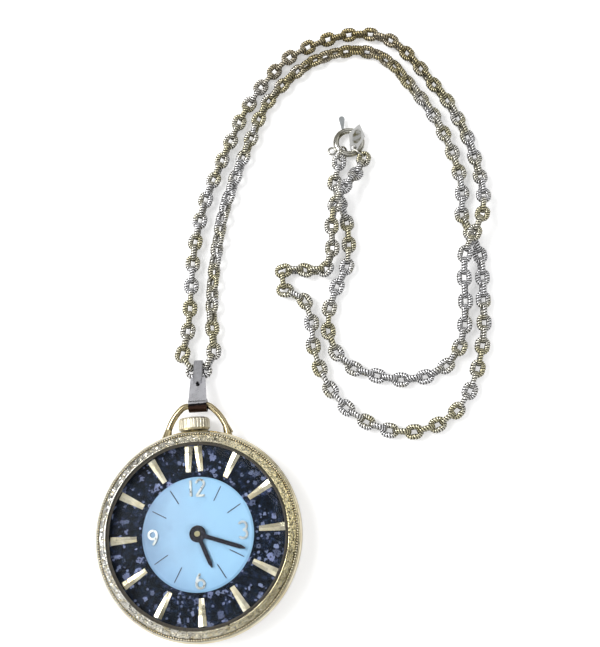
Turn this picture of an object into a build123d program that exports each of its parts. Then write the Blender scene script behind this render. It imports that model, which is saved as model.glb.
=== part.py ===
from build123d import *
from math import asin, atan2, cos, degrees, hypot, radians, sin, sqrt
import os

# Pendant watch on a cable chain, lying face up. Millimetres.
# The origin is the centre of the case back's flat foot, +Z goes up through the dial,
# and +Y goes to twelve o'clock, where the crown, the bow, the bail and the chain are.

over = 1.0  # how far every cut runs past what it cuts
full_turn = 360
half_turn = 180

# Case
case_radius = 19.0
band_tuck = 0.8
band_wall_top = 2.4
back_slope = 5.2
back_dome = 1.0
back_edge = 0.4
back_floor = 0.8
snap_wall = 1.3
snap_height = 1.3
snap_fit = 0.02
back_gasket_width = 0.4
back_gasket_thick = 0.3
ring_fit = 0.1

# Heights of the movement, from the case back up
floor_gap = 0.35
ratchet_thick = 0.4
run_gap = 0.1
bridge_thick = 0.55
train_height = 1.8
plate_thick = 0.9
motion_space = 0.4
dial_thick = 0.4

movement_low = back_floor + floor_gap
ratchet_top = movement_low + ratchet_thick
bridge_low = ratchet_top + run_gap
bridge_top = bridge_low + bridge_thick
plate_low = bridge_top + train_height
plate_top = plate_low + plate_thick
dial_low = plate_top + motion_space
dial_top = dial_low + dial_thick

back_rim_radius = case_radius - band_tuck
back_foot_radius = back_rim_radius - back_slope
back_rim_top = back_dome + back_edge
snap_radius = back_rim_radius - snap_wall + back_gasket_width / 2
snap_top = back_rim_top + snap_height

# Bezel and crystal
bezel_step = 0.5
bezel_width = 2.0
bezel_edge = 0.6
bezel_bead_width = 0.55
bezel_bead_rise = 0.35
bezel_rise = 2.0
bezel_lip = 0.15
rehaut_step = 0.6
rehaut_height = 1.4
crystal_gasket_thick = 0.15
crystal_fit = 0.1
crystal_sides = 12
crystal_edge = 0.45
crystal_rise = 1.2
crystal_facet = 2.1
bezel_radius = case_radius - bezel_step
bezel_inner = bezel_radius - bezel_width
rehaut_radius = bezel_inner - rehaut_step
crystal_radius = bezel_inner - crystal_fit
crystal_table = crystal_radius - crystal_facet
bezel_top = dial_top + bezel_rise
crystal_low = dial_top + rehaut_height + crystal_gasket_thick

# Dial, markers and numerals
dial_tuck = 0.2
dial_ring_width = 5.9
dial_centre_rise = 0.2
dial_hole = 0.95
marker_inset = 0.95
marker_margin = 0.4
marker_wide = 1.5
marker_narrow = 0.9
marker_side = 0.2
marker_ridge = 0.4
pair_gap = 0.2
numeral_height = 2.9
numeral_stroke = 0.4
numeral_thick = 0.25
numeral_inset = 2.0
digit_width = 1.45
digit_gap = 0.3
six_sweep_radius = 2.5
line_inset = 0.85
line_length = 2.9
line_width = 0.16
line_thick = 0.05
dial_ring_radius = rehaut_radius + dial_tuck
dial_centre_radius = dial_ring_radius - dial_ring_width
numeral_circle = dial_centre_radius - numeral_inset
line_outer = dial_centre_radius - line_inset
line_inner = line_outer - line_length
marker_inner = dial_centre_radius + marker_inset
marker_outer = dial_ring_radius - marker_margin

# Gear teeth
tooth_add_share = 0.8
tooth_ded_share = 1.15
tooth_root_share = 0.3
tooth_tip_share = 0.1

# Motion works and hands
motion_module = 0.1
cannon_teeth = 12
minute_wheel_teeth = 36
minute_pinion_teeth = 9
hour_wheel_teeth = 36
motion_lead = 70
motion_leaf = 0.12
arbor_top_radius = 0.3
cannon_bore = 0.33
cannon_radius = 0.52
hour_tube_bore = 0.6
hour_tube_radius = 0.85
hour_hand_lift = 0.3
hand_thick = 0.15
hand_gap = 0.25
hour_hand_inset = 3.7
minute_hand_inset = 1.1
hand_width = 0.75
hand_tip_width = 0.2
hand_point = 0.9
hour_hand_length = dial_centre_radius - hour_hand_inset
minute_hand_length = dial_centre_radius - minute_hand_inset
hour_hub_radius = 1.5
minute_hub_radius = 1.4
hour_angle = 159.3
minute_angle = 110.8

# Movement: plate, wheels and where they stand
balance_clear = 0.143
plate_wall = 0.75
pillar_radius = 0.9
pillar_inset = 1.4
pillar_leads = {"train": (205, 240, 290), "barrel": (75, 125, 172)}
cock_lead = 30
pallet_lead = -30
barrel_teeth = 72
centre_pinion_teeth = 12
barrel_module = 0.125
barrel_lead = 150
barrel_drum = 4.25
barrel_wall = 0.2
barrel_lid = 0.15
barrel_tooth_height = 0.25
barrel_height = 1.15
arbor_core = 1.0
arbor_journal = 0.5
arbor_square = 0.62
journal_fit = 0.04
spring_thick = 0.12
spring_turns = 6
spring_clear = 0.1
centre_teeth = 64
third_pinion_teeth = 8
centre_module = 0.11
third_lead = 265
third_teeth = 60
fourth_pinion_teeth = 8
third_module = 0.1
fourth_lead = 10
fourth_teeth = 70
escape_pinion_teeth = 7
fourth_module = 0.085
escape_lead = -40
escape_radius = 2.2
escape_teeth = 15
escape_tooth = 0.55
escape_shares = (0, 0.42, 0.5)
wheel_thick = 0.14
pinion_height = 0.36
wheel_rim = 0.4
wheel_spoke = 0.3
wheel_hub = 0.7
centre_wheel_drop = 0.32
fourth_wheel_drop = 0.7
third_wheel_drop = 1.02
arbor_radius = 0.22
centre_arbor_radius = 0.45
pivot_radius = 0.09
pivot_length = 0.28
pivot_fit = 0.03
jewel_radius = 0.5
jewel_thick = 0.3
balance_x = 7.0
balance_y = -0.9
balance_radius = 3.7
balance_rim = 0.4
movement_radius = hypot(balance_x, balance_y) + balance_radius + balance_clear + plate_wall
pillar_circle = movement_radius - pillar_inset
balance_arm = 0.45
balance_thick = 0.35
roller_radius = 0.85
roller_thick = 0.1
impulse_circle = 0.62
impulse_radius = 0.08
pallet_share = 0.54
pallet_thick = 0.14
pallet_arm = 0.3
pallet_arbor = 0.15
fork_gap = 0.34
fork_prong = 0.14
stone_width = 0.25
stone_clear = 0.12
stone_lead = 30
pallet_bridge_thick = 0.18
hairspring_thick = 0.05
hairspring_height = 0.12
hairspring_turns = 8
hairspring_inner = 0.75
hairspring_outer = 2.5
cock_thick = 0.5
cock_width = 1.0
screw_radius = 0.35
screw_head = 0.65
screw_head_thick = 0.25
screw_slot = 0.15
screw_depth = 1.0
clamp_leads = (50, 215)
clamp_thick = 0.25

# Winding and setting
ratchet_teeth = 48
crown_wheel_teeth = 30
winding_teeth = 12
ratchet_module = 0.15
crown_wheel_extra = 0.35
click_length = 1.25
click_offset = 1.07
click_turn = 220
click_width = 0.7
click_pivot_radius = 0.3
click_lead = 75
click_spring_wire = 0.15
click_spring_length = 2.6
click_spring_angle = 40
click_spring_lead = 130
stem_z = 3.25
stem_radius = 0.45
stem_square = 0.56
stem_pivot = 0.25
stem_pivot_length = 0.9
winding_pinion_length = 0.9
sliding_pinion_length = 1.2
sliding_pinion_radius = 0.95
sliding_groove = 0.45
sliding_neck = 0.72
pinion_gap = 0.12
setting_groove_y = 9.6
setting_groove = 0.5
setting_neck = 0.3
setting_pin = 0.18
lever_thick = 0.2
lever_width = 0.9
lever_reach = 2.0
yoke_reach = 2.3
crown_pull = 0.5

# Crown and tube
crown_radius = 3.0
crown_length = 2.3
crown_gap = 0.15
crown_flutes = 30
flute_radius = 0.16
crown_bore_depth = 1.3
crown_edge = 0.35
crown_tube_radius = 1.0
crown_tube_bore = 0.55
crown_tube_out = 0.9
crown_tube_recess = 1.2
crown_gasket_width = 0.35
crown_gasket_length = 0.4
gasket_fit = 0.03

# Bow and bail
bow_wire_radius = 0.6
bow_x = 0.6
bow_z = 3.7
bow_foot_x = 5.9
bow_foot_depth = 1.0
bow_shoulder_x = 5.0
bow_shoulder_height = 2.45
bow_top_x = 2.35
bow_height = 4.8
bow_shoulder_radius = 9.0
bow_bend_radius = 1.6
bow_sink_depth = 1.1
bow_flare_radius = 0.95
bow_flare_length = 1.7
bow_fit = 0.02
bail_x = 1.0
bail_fall_angle = 16.2
bail_width = 3.5
bail_taper_width = 2.75
bail_tongue_width = 1.7
bail_tip_radius = 0.42
bail_tip_length = 1.35
bail_yaw_angle = 2.0
bail_metal = 0.35
bail_loop_radius = 0.92
bail_reach = 7.4
bail_eye_length = 3.36
bail_eye_height = 1.56
bail_hole_radius = 0.27
bail_face = 1.1
bail_corner = 0.5

# Chain link: an oval band
link_length = 3.75
link_width = 3.05
link_metal = 0.5
link_height = 1.05
link_play = 0.41
chain_clear = 0.007
connector_length = 5.35
connector_fall_angle = 6
bail_lean_angle = 60
link_pitch = link_length - 2 * link_metal - link_play
chain_z = hypot(link_width, link_height) / 2 + chain_clear

bow_foot_y = case_radius - bow_foot_depth
bow_shoulder_y = case_radius + bow_shoulder_height
bow_top_y = case_radius + bow_height
eye_x = bail_x + bail_reach * cos(radians(bail_fall_angle)) * sin(radians(bail_yaw_angle))
eye_y = bow_top_y + bail_reach * cos(radians(bail_fall_angle)) * cos(radians(bail_yaw_angle))
fold_shares = (7.672, 7.264)
half_flat = (link_length - link_width) / 2
edge_span = 2 * (link_pitch - half_flat)
band_circle = (link_width - link_metal) / 2

# Clasp
clasp_shares = (14.68, 19.764)
clasp_x = eye_x + clasp_shares[0] * link_pitch
clasp_y = eye_y + clasp_shares[1] * link_pitch
clasp_z = 1.25
clasp_radius = 2.7
clasp_tube = 0.62
clasp_bore = 0.36
clasp_bolt_radius = 0.3
clasp_spring_bore = 0.2
mouth_start_angle = 24
mouth_angle = 40
bolt_start_angle = 12
lever_angle = 107
lever_travel_angle = 52
stop_angle = 228
clasp_slot = 0.34
bolt_tail_angle = 6
slot_margin_angle = 5
spring_gap_angle = 0.6
lever_gap = 0.1
lever_length = 2.9
lever_neck_radius = 0.25
lever_pad_radius = 0.6
lever_pad_thick = 0.35
lever_lean_angle = 18
clasp_eye_lead = 204
clasp_eye_radius = 0.75
clasp_eye_wire = 0.22
clasp_start_leads = (237, 246)
clasp_end_leads = (-52, -64)
jump_wire = 0.22
jump_radius = 1.42
jump_set = 0.4
jump_hold = 0.5
jump_lean_angle = 30
jump_height = 0.23
tag_length = 6.3
tag_width = 3.4
tag_thick = 0.3
tag_hole = 0.55
tag_eye_radius = 0.85
tag_round = 0.2
tag_lead = 72
tag_ring_turn = 152
jump_reach = clasp_radius + jump_set


def disc(radius, low, high):
    """Upright cylinder between two heights."""
    return Pos(0, 0, low) * extrude(Circle(radius), high - low)


def collar(outer, inner, low, high):
    """Upright ring between two heights."""
    return Pos(0, 0, low) * extrude(Circle(outer) - Circle(inner), high - low)


def turned(points):
    """Solid of revolution about Z from (radius, height) points."""
    outline = Polyline([(r, 0, z) for r, z in points], close=True)
    return revolve(make_face(outline), Axis.Z)


def at(place, solid):
    """Solid moved to an (x, y) place."""
    return Pos(place[0], place[1], 0) * solid


def step(start, lead, distance):
    """Place that lies a distance from start in the direction lead, in degrees."""
    x = start[0] + distance * cos(radians(lead))
    y = start[1] + distance * sin(radians(lead))
    return (x, y)


def pillar_place(lead):
    """Place of a plate pillar."""
    return step((0, 0), lead, pillar_circle)


def rod_y(radius, start, end, height=stem_z):
    """Round rod along Y at the stem's height."""
    return Pos(0, start, height) * Rot(-90, 0, 0) * disc(radius, 0, end - start)


def ring_y(outer, inner, start, end):
    """Round collar along Y at the stem's height."""
    return Pos(0, start, stem_z) * Rot(-90, 0, 0) * collar(outer, inner, 0, end - start)


def gear_face(teeth, module, phase):
    """Toothed disc with one tooth at the angle phase."""
    root = module * (teeth / 2 - tooth_ded_share)
    tip = module * (teeth / 2 + tooth_add_share)
    turn = full_turn / teeth
    points = []
    for k in range(teeth):
        for radius, share in (
            (root, -tooth_root_share),
            (tip, -tooth_tip_share),
            (tip, tooth_tip_share),
            (root, tooth_root_share),
        ):
            angle = radians(phase + turn * (k + share))
            points.append((radius * cos(angle), radius * sin(angle)))
    return make_face(Polyline(points, close=True))


def windows(outer, inner, count, spoke):
    """Openings between the spokes of a wheel."""
    face = Circle(outer) - Circle(inner)
    for k in range(count):
        face -= Rot(0, 0, full_turn * k / count) * Pos(outer / 2, 0) * Rectangle(outer + over, spoke)
    return face


def wheel(teeth, module, phase, low, high, spokes=4):
    """Spoked gear wheel."""
    face = gear_face(teeth, module, phase)
    face -= windows(module * teeth / 2 - wheel_rim, wheel_hub, spokes, wheel_spoke)
    return Pos(0, 0, low) * extrude(face, high - low)


def pinion(teeth, module, phase, low, high):
    """Solid gear of few teeth."""
    return Pos(0, 0, low) * extrude(gear_face(teeth, module, phase), high - low)


def mesh_phase(teeth, phase, lead, other_teeth):
    """Phase of a gear that stands at the angle lead from another and meshes with it."""
    return lead + half_turn + half_turn / other_teeth - (phase - lead) * teeth / other_teeth


def arbor(low, high):
    """Wheel arbor with a pivot at each end; low and high are its shoulders."""
    staff = disc(arbor_radius, low, high)
    staff += disc(pivot_radius, low - pivot_length, low)
    staff += disc(pivot_radius, high, high + pivot_length)
    return staff


def spiral(inner, outer, turns, thick, low, high):
    """Flat spiral spring of half circles, from the inner radius to the outer one."""
    gain = (outer - inner) / turns
    edges_out = []
    edges_in = []
    for k in range(2 * turns):
        mean = inner + gain / 4 + gain * k / 2
        shift = gain / 4 if k % 2 else -gain / 4
        turn = half_turn if k % 2 else 0
        for radius, kept in ((mean + thick / 2, edges_out), (mean - thick / 2, edges_in)):
            arc = CenterArc((0, 0), radius, turn, half_turn)
            kept.append(Pos(shift, 0) * arc)
    start = Line(edges_in[0] @ 0, edges_out[0] @ 0)
    end = Line(edges_in[-1] @ 1, edges_out[-1] @ 1)
    face = make_face(edges_out + edges_in + [start, end])
    return Pos(0, 0, low) * extrude(face, high - low)


def hull(circles, low, high):
    """Upright plate whose outline is drawn tight around (place, radius) circles."""
    edges = []
    for place, radius in circles:
        edges += (Pos(place[0], place[1]) * Circle(radius)).edges()
    return Pos(0, 0, low) * extrude(make_hull(edges), high - low)


# Places of the wheels
def centre_distance(teeth_a, teeth_b, module):
    """Distance between two meshed gears."""
    return module * (teeth_a + teeth_b) / 2


centre = (0, 0)
barrel_place = step(centre, barrel_lead, centre_distance(barrel_teeth, centre_pinion_teeth, barrel_module))
third_place = step(centre, third_lead, centre_distance(centre_teeth, third_pinion_teeth, centre_module))
fourth_place = step(third_place, fourth_lead, centre_distance(third_teeth, fourth_pinion_teeth, third_module))
escape_gap = centre_distance(fourth_teeth, escape_pinion_teeth, fourth_module)
escape_place = step(fourth_place, escape_lead, escape_gap)
balance_place = (balance_x, balance_y)
escape_to_balance = degrees(atan2(balance_y - escape_place[1], balance_x - escape_place[0]))
escape_balance_gap = hypot(balance_x - escape_place[0], balance_y - escape_place[1])
pallet_place = step(escape_place, escape_to_balance, escape_balance_gap * pallet_share)
ratchet_crown_gap = centre_distance(ratchet_teeth, crown_wheel_teeth, ratchet_module)
crown_wheel_y = barrel_place[1] + sqrt(ratchet_crown_gap**2 - barrel_place[0] ** 2)
crown_wheel_place = (0, crown_wheel_y)
motion_gap = centre_distance(cannon_teeth, minute_wheel_teeth, motion_module)
motion_place = step(centre, motion_lead, motion_gap)

# Phases of the meshed wheels
barrel_phase = 0
centre_pinion_phase = mesh_phase(barrel_teeth, barrel_phase, barrel_lead + half_turn, centre_pinion_teeth)
centre_phase = 0
third_pinion_phase = mesh_phase(centre_teeth, centre_phase, third_lead, third_pinion_teeth)
third_phase = 0
fourth_pinion_phase = mesh_phase(third_teeth, third_phase, fourth_lead, fourth_pinion_teeth)
fourth_phase = 0
escape_pinion_phase = mesh_phase(fourth_teeth, fourth_phase, escape_lead, escape_pinion_teeth)
ratchet_phase = 0
ratchet_crown_lead = degrees(atan2(crown_wheel_y - barrel_place[1], -barrel_place[0]))
crown_wheel_phase = mesh_phase(ratchet_teeth, ratchet_phase, ratchet_crown_lead, crown_wheel_teeth)
cannon_phase = 0
minute_wheel_phase = mesh_phase(cannon_teeth, cannon_phase, motion_lead, minute_wheel_teeth)
minute_pinion_phase = 0
hour_lead = motion_lead + half_turn
hour_wheel_phase = mesh_phase(minute_pinion_teeth, minute_pinion_phase, hour_lead, hour_wheel_teeth)

# Heights of the wheels
centre_wheel_low = plate_low - centre_wheel_drop
centre_wheel_high = centre_wheel_low + wheel_thick
fourth_wheel_low = plate_low - fourth_wheel_drop
fourth_wheel_high = fourth_wheel_low + wheel_thick
third_wheel_low = plate_low - third_wheel_drop
third_wheel_high = third_wheel_low + wheel_thick
ring_low = bridge_top
shoulder_low = bridge_top + run_gap
shoulder_high = plate_low - run_gap
barrel_low = bridge_top + run_gap
barrel_high = barrel_low + barrel_height
balance_low = bridge_top + run_gap
balance_high = balance_low + balance_thick
crown_wheel_top = ratchet_top + crown_wheel_extra
winding_radius = stem_z - crown_wheel_top - run_gap / 2
winding_pinion_start = crown_wheel_y + ratchet_module * crown_wheel_teeth / 2 - winding_pinion_length
sliding_pinion_start = winding_pinion_start - pinion_gap - sliding_pinion_length
square_start = sliding_pinion_start - crown_pull - pinion_gap
crown_start = case_radius + crown_gap
cock_pillar = pillar_place(cock_lead)
pallet_pillar = pillar_place(pallet_lead)


def case_back():
    foot = [(0, 0), (back_foot_radius, 0), (back_rim_radius, back_dome), (back_rim_radius, back_rim_top)]
    inner = snap_radius - snap_wall
    wall = [(snap_radius, back_rim_top), (snap_radius, snap_top), (inner, snap_top)]
    hollow = [(inner, back_dome + back_edge), (back_foot_radius, back_floor), (0, back_floor)]
    return turned(foot + wall + hollow)


def back_gasket():
    inner = snap_radius + snap_fit
    return collar(inner + back_gasket_width, inner, back_rim_top, back_rim_top + back_gasket_thick)


band_inner = dial_ring_radius + ring_fit


def bow_leg(side):
    """Direction and inner end of one bow leg, inside the band."""
    dx = bow_foot_x - bow_shoulder_x
    dy = bow_foot_y - bow_shoulder_y
    length = hypot(dx, dy)
    x = bow_foot_x + bow_sink_depth * dx / length
    y = bow_foot_y + bow_sink_depth * dy / length
    return Vector(bow_x + side * x, y, bow_z), Vector(-side * dx / length, -dy / length, 0)


def case_band():
    gasket_outer = snap_radius + snap_fit + back_gasket_width
    crest = (back_rim_top + band_wall_top + dial_top) / 2 - band_tuck / 2
    outline = [
        (back_rim_radius, back_rim_top),
        (case_radius - band_tuck / 4, back_rim_top + band_tuck),
        (case_radius, crest),
        (case_radius - band_tuck / 8, dial_top - band_tuck / 2),
        (bezel_radius + band_tuck / 8, dial_top),
        (band_inner, dial_top),
        (band_inner, snap_top + ring_fit),
        (snap_radius + snap_fit, snap_top + ring_fit),
        (snap_radius + snap_fit, back_rim_top + back_gasket_thick),
        (gasket_outer, back_rim_top + back_gasket_thick),
        (gasket_outer, back_rim_top),
    ]
    band = turned(outline)
    band -= rod_y(crown_tube_radius, band_inner - over, case_radius + over)
    for side in (1, -1):
        start, along = bow_leg(side)
        drill = disc(bow_wire_radius + bow_fit, 0, bow_sink_depth + over)
        band -= Plane(origin=start, z_dir=along).location * drill
    return band


def bezel():
    outline = [
        (rehaut_radius, dial_top),
        (bezel_radius, dial_top),
        (bezel_radius, dial_top + bezel_edge),
        (bezel_radius - bezel_bead_width / 2, dial_top + bezel_edge + bezel_bead_rise),
        (bezel_radius - bezel_bead_width, dial_top + bezel_edge + bezel_bead_rise),
        (bezel_inner + bezel_lip, bezel_top),
        (bezel_inner, bezel_top - bezel_lip),
        (bezel_inner, dial_top + rehaut_height),
        (rehaut_radius, dial_top + rehaut_height),
    ]
    return turned(outline)


def crystal_gasket():
    low = dial_top + rehaut_height
    return collar(crystal_radius, rehaut_radius, low, low + crystal_gasket_thick)


def crystal():
    radius = crystal_radius
    facet_low = crystal_low + crystal_edge
    facet_high = facet_low + crystal_rise
    blank = disc(radius, crystal_low, facet_high)
    lower = Pos(0, 0, facet_low) * RegularPolygon(radius, crystal_sides, major_radius=False)
    upper = Pos(0, 0, facet_high) * RegularPolygon(crystal_table, crystal_sides, major_radius=False)
    turn = Rot(0, 0, half_turn / crystal_sides - 90)
    facets = loft([turn * lower, turn * upper], ruled=True)
    return blank & (facets + disc(radius, crystal_low - over, facet_low))


def dial_ring():
    return collar(dial_ring_radius, dial_centre_radius, dial_low, dial_top)


def dial_centre():
    outline = [
        (dial_hole, dial_low),
        (dial_centre_radius, dial_low),
        (dial_centre_radius, dial_top),
        (dial_centre_radius - dial_thick, dial_top + dial_centre_rise),
        (dial_hole, dial_top + dial_centre_rise),
    ]
    return turned(outline)


def baton():
    """Tapered marker with a ridge, along +X."""

    def section(x, width):
        points = [
            (x, -width / 2, dial_top),
            (x, width / 2, dial_top),
            (x, width / 2, dial_top + marker_side),
            (x, 0, dial_top + marker_ridge),
            (x, -width / 2, dial_top + marker_side),
        ]
        return make_face(Polyline(points, close=True))

    return loft([section(marker_inner, marker_narrow), section(marker_outer, marker_wide)], ruled=True)


def hour_markers():
    markers = []
    shape = baton()
    for hour in range(1, 12):
        markers.append(Rot(0, 0, 90 - 30 * hour) * shape)
    for side in (1, -1):
        shift = (marker_wide + pair_gap) / 2 * side
        lean = degrees((marker_wide - marker_narrow) / 2 / (marker_outer - marker_inner)) * side
        turn = Pos(shift, marker_outer) * Rot(0, 0, 90 + lean) * Pos(-marker_outer, 0)
        markers.append(turn * shape)
    return markers


def digit(strokes):
    """Raised digit from lines and arcs traced at the stroke's width."""
    face = Sketch()
    for stroke in strokes:
        face += trace(stroke, line_width=numeral_stroke)
    return extrude(face, numeral_thick)


def digit_one():
    half = numeral_height / 2
    return digit([Line((0, -half), (0, half))])


def digit_two():
    half = numeral_height / 2
    bow_radius = digit_width / 2
    head = CenterArc((0, half - bow_radius), bow_radius, -30, 200)
    neck = Line(head @ 0, (-bow_radius, -half))
    foot = Line((-bow_radius, -half), (bow_radius, -half))
    return digit([head, neck, foot])


def digit_three():
    radius = numeral_height / 4
    upper = CenterArc((0, radius), radius, -90, 240)
    lower = CenterArc((0, -radius), radius, 90, -240)
    return digit([upper, lower])


def digit_six():
    radius = digit_width / 2
    low = radius + numeral_stroke / 2 - numeral_height / 2
    rise = degrees(asin((numeral_height / 2 - numeral_stroke / 2 - low) / six_sweep_radius))
    sweep_line = CenterArc((six_sweep_radius - radius, low), six_sweep_radius, half_turn, -rise)
    stalk = trace(sweep_line, line_width=numeral_stroke)
    bowl = Circle(radius + numeral_stroke / 2) - Circle(radius - numeral_stroke / 2)
    return extrude(Pos(0, low) * bowl + stalk, numeral_thick)


def dial_numerals():
    lift = dial_top + dial_centre_rise
    pitch = (digit_width + digit_gap) / 2
    raised = [
        Pos(-pitch, numeral_circle, lift) * digit_one(),
        Pos(pitch, numeral_circle, lift) * digit_two(),
        Pos(numeral_circle, 0, lift) * digit_three(),
        Pos(0, -numeral_circle, lift) * digit_six(),
        Pos(-numeral_circle, 0, lift) * Rot(0, 0, 180) * digit_six(),
    ]
    return raised


def dial_lines():
    lines = []
    for hour in (1, 2, 4, 5, 7, 8, 10, 11):
        bar = extrude(Rectangle(line_outer - line_inner, line_width), line_thick)
        place = Pos((line_outer + line_inner) / 2, 0, dial_top + dial_centre_rise)
        lines.append(Rot(0, 0, 90 - 30 * hour) * place * bar)
    return lines


motion_low = plate_top + run_gap / 2
minute_pinion_low = motion_low + motion_leaf
hour_wheel_low = minute_pinion_low
hour_hand_low = dial_top + dial_centre_rise + hour_hand_lift
minute_hand_low = hour_hand_low + hand_thick + hand_gap
cannon_high = minute_hand_low + hand_thick + hand_gap / 2


def cannon_pinion():
    body = pinion(cannon_teeth, motion_module, cannon_phase, motion_low, motion_low + motion_leaf)
    body += disc(cannon_radius, motion_low, cannon_high)
    return body - disc(cannon_bore, motion_low - over, cannon_high - hand_thick)


def minute_wheel():
    module = 2 * motion_gap / (minute_pinion_teeth + hour_wheel_teeth)
    high = minute_pinion_low + motion_leaf
    body = pinion(minute_wheel_teeth, motion_module, minute_wheel_phase, motion_low, motion_low + motion_leaf)
    body += pinion(minute_pinion_teeth, module, minute_pinion_phase, minute_pinion_low, high)
    body -= disc(pivot_radius + pivot_fit, motion_low - over, high + over)
    return at(motion_place, body)


def hour_wheel():
    module = 2 * motion_gap / (minute_pinion_teeth + hour_wheel_teeth)
    body = pinion(hour_wheel_teeth, module, hour_wheel_phase, hour_wheel_low, hour_wheel_low + motion_leaf)
    body += disc(hour_tube_radius, hour_wheel_low, hour_hand_low + hand_thick)
    return body - disc(hour_tube_bore, hour_wheel_low - over, hour_hand_low + hand_thick + over)


def hand(length, hub, bore, low, angle):
    """Straight pointed hand along +Y, turned clockwise by the angle."""
    outline = Polyline(
        [
            (-hand_width / 2, 0),
            (-hand_width / 2, length - hand_point),
            (-hand_tip_width / 2, length),
            (hand_tip_width / 2, length),
            (hand_width / 2, length - hand_point),
            (hand_width / 2, 0),
        ],
        close=True,
    )
    face = make_face(outline) + Circle(hub) - Circle(bore)
    return Rot(0, 0, -angle) * Pos(0, 0, low) * extrude(face, hand_thick)


def hour_hand():
    return hand(hour_hand_length, hour_hub_radius, hour_tube_radius, hour_hand_low, hour_angle)


def minute_hand():
    return hand(minute_hand_length, minute_hub_radius, cannon_radius, minute_hand_low, minute_angle)


def jewel_places():
    """Places of the jewel bearings in each bridge."""
    return {
        "train_bridge": [third_place, fourth_place, escape_place],
        "pallet_bridge": [pallet_place],
        "balance_cock": [balance_place],
        "main_plate": [third_place, fourth_place, escape_place, pallet_place, balance_place],
    }


jewel_faces = {
    "train_bridge": bridge_top - jewel_thick,
    "pallet_bridge": balance_high + run_gap,
    "balance_cock": movement_low + cock_thick - jewel_thick,
    "main_plate": plate_low,
}
jewel_heights = {"pallet_bridge": pallet_bridge_thick}


def jewel_holes(bridge):
    """Cuts for the jewels of one bridge."""
    low = jewel_faces[bridge]
    high = low + jewel_heights.get(bridge, jewel_thick)
    if bridge == "pallet_bridge":
        return [at(place, disc(jewel_radius, low - over, high + over)) for place in jewel_places()[bridge]]
    return [at(place, disc(jewel_radius, low, high)) for place in jewel_places()[bridge]]


def jewels():
    solids = []
    bore = pivot_radius + pivot_fit
    for bridge, places in jewel_places().items():
        low = jewel_faces[bridge]
        high = low + jewel_heights.get(bridge, jewel_thick)
        solids += [at(place, collar(jewel_radius, bore, low, high)) for place in places]
    return solids


def lever_slot(place, length, width):
    """Cut through the plate that a lever's pin moves in."""
    slot = Pos(0, 0, plate_low - over) * extrude(Rectangle(width, length), plate_thick + 2 * over)
    return at(place, slot)


def main_plate():
    plate = disc(movement_radius, plate_low, plate_top)
    plate += collar(movement_radius, movement_radius - plate_wall, bridge_top, plate_low)
    for lead in pillar_leads["train"] + pillar_leads["barrel"]:
        plate += at(pillar_place(lead), disc(pillar_radius, bridge_top, plate_low))
    plate += at(cock_pillar, disc(pillar_radius, bridge_top, plate_low))
    plate += at(pallet_pillar, disc(pillar_radius, balance_high + run_gap + pallet_bridge_thick, plate_low))
    block_start = square_start - run_gap - stem_pivot_length
    block = Pos(0, block_start + stem_pivot_length / 2, stem_z - stem_radius)
    plate += block * extrude(Rectangle(2 * stem_radius, stem_pivot_length), plate_low - stem_z + stem_radius)
    plate -= rod_y(stem_pivot + pivot_fit, block_start - over, square_start)
    plate -= rod_y(stem_radius + journal_fit, setting_groove_y, movement_radius + over)
    trough = winding_radius + run_gap
    trough_end = winding_pinion_start + winding_pinion_length + pinion_gap
    plate -= rod_y(trough, sliding_pinion_start - pinion_gap, trough_end)
    plate -= disc(arbor_top_radius + journal_fit, plate_low - over, plate_top + over)
    plate -= at(barrel_place, disc(arbor_journal + journal_fit, plate_low - over, plate_top + over))
    for hole in jewel_holes("main_plate"):
        plate -= hole
    for place in jewel_places()["main_plate"]:
        plate -= at(place, disc(pivot_radius + pivot_fit, plate_low, plate_low + jewel_thick + run_gap))
    for place, low in screw_places():
        depth = low + screw_head_thick + screw_depth
        plate -= at(place, disc(screw_radius, low, max(depth, bridge_top + screw_depth)))
    travel = crown_pull + 2 * setting_pin + 2 * run_gap
    lever_y = setting_groove_y + crown_pull / 2
    plate -= lever_slot((0, lever_y), travel, 2 * setting_pin + 4 * run_gap)
    plate -= lever_slot((0, sliding_groove_y), 2 * setting_pin + 2 * run_gap, 2 * setting_pin + 2 * run_gap)
    plate += at(motion_place, disc(pivot_radius, plate_top, minute_pinion_low + motion_leaf))
    plate += at(setting_pivot, disc(click_pivot_radius, plate_top, plate_top + motion_space - run_gap))
    plate += at(yoke_pivot, disc(click_pivot_radius, plate_top, plate_top + motion_space - run_gap))
    return plate


sliding_groove_y = sliding_pinion_start + sliding_pinion_length / 2
setting_pivot = (-lever_reach, setting_groove_y)
yoke_pivot = (yoke_reach, sliding_groove_y)


def screw_places():
    """Places of the movement screws and the height of each head's seat, less the head."""
    places = []
    for name in ("train", "barrel"):
        places += [(pillar_place(lead), bridge_low - screw_head_thick) for lead in pillar_leads[name]]
    places.append((cock_pillar, movement_low - screw_head_thick / 2))
    places.append((pallet_pillar, balance_high + run_gap - screw_head_thick))
    return places


def screw(low, slot=screw_slot):
    """Slotted screw with its head's slot facing the case back."""
    body = disc(screw_head, low, low + screw_head_thick)
    body += disc(screw_radius, low + screw_head_thick, low + screw_head_thick + screw_depth)
    return body - Pos(0, 0, low - over) * extrude(Rectangle(2 * over, slot), over + screw_head_thick / 2)


def movement_screws():
    solids = [at(place, screw(low)) for place, low in screw_places()]
    low = ring_low - clamp_thick - screw_head_thick
    return solids + [at(clamp_screw_place(lead), screw(low)) for lead in clamp_leads]


def screw_cut(low):
    """Room for a screw's head and shank."""
    room = disc(screw_head, low - over, low + screw_head_thick)
    return room + disc(screw_radius, low, low + screw_head_thick + screw_depth)


def drilled(bridge, places):
    """Bridge with its screw holes."""
    for place, low in screw_places():
        if place in places:
            bridge -= at(place, screw_cut(low))
    return bridge


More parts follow.
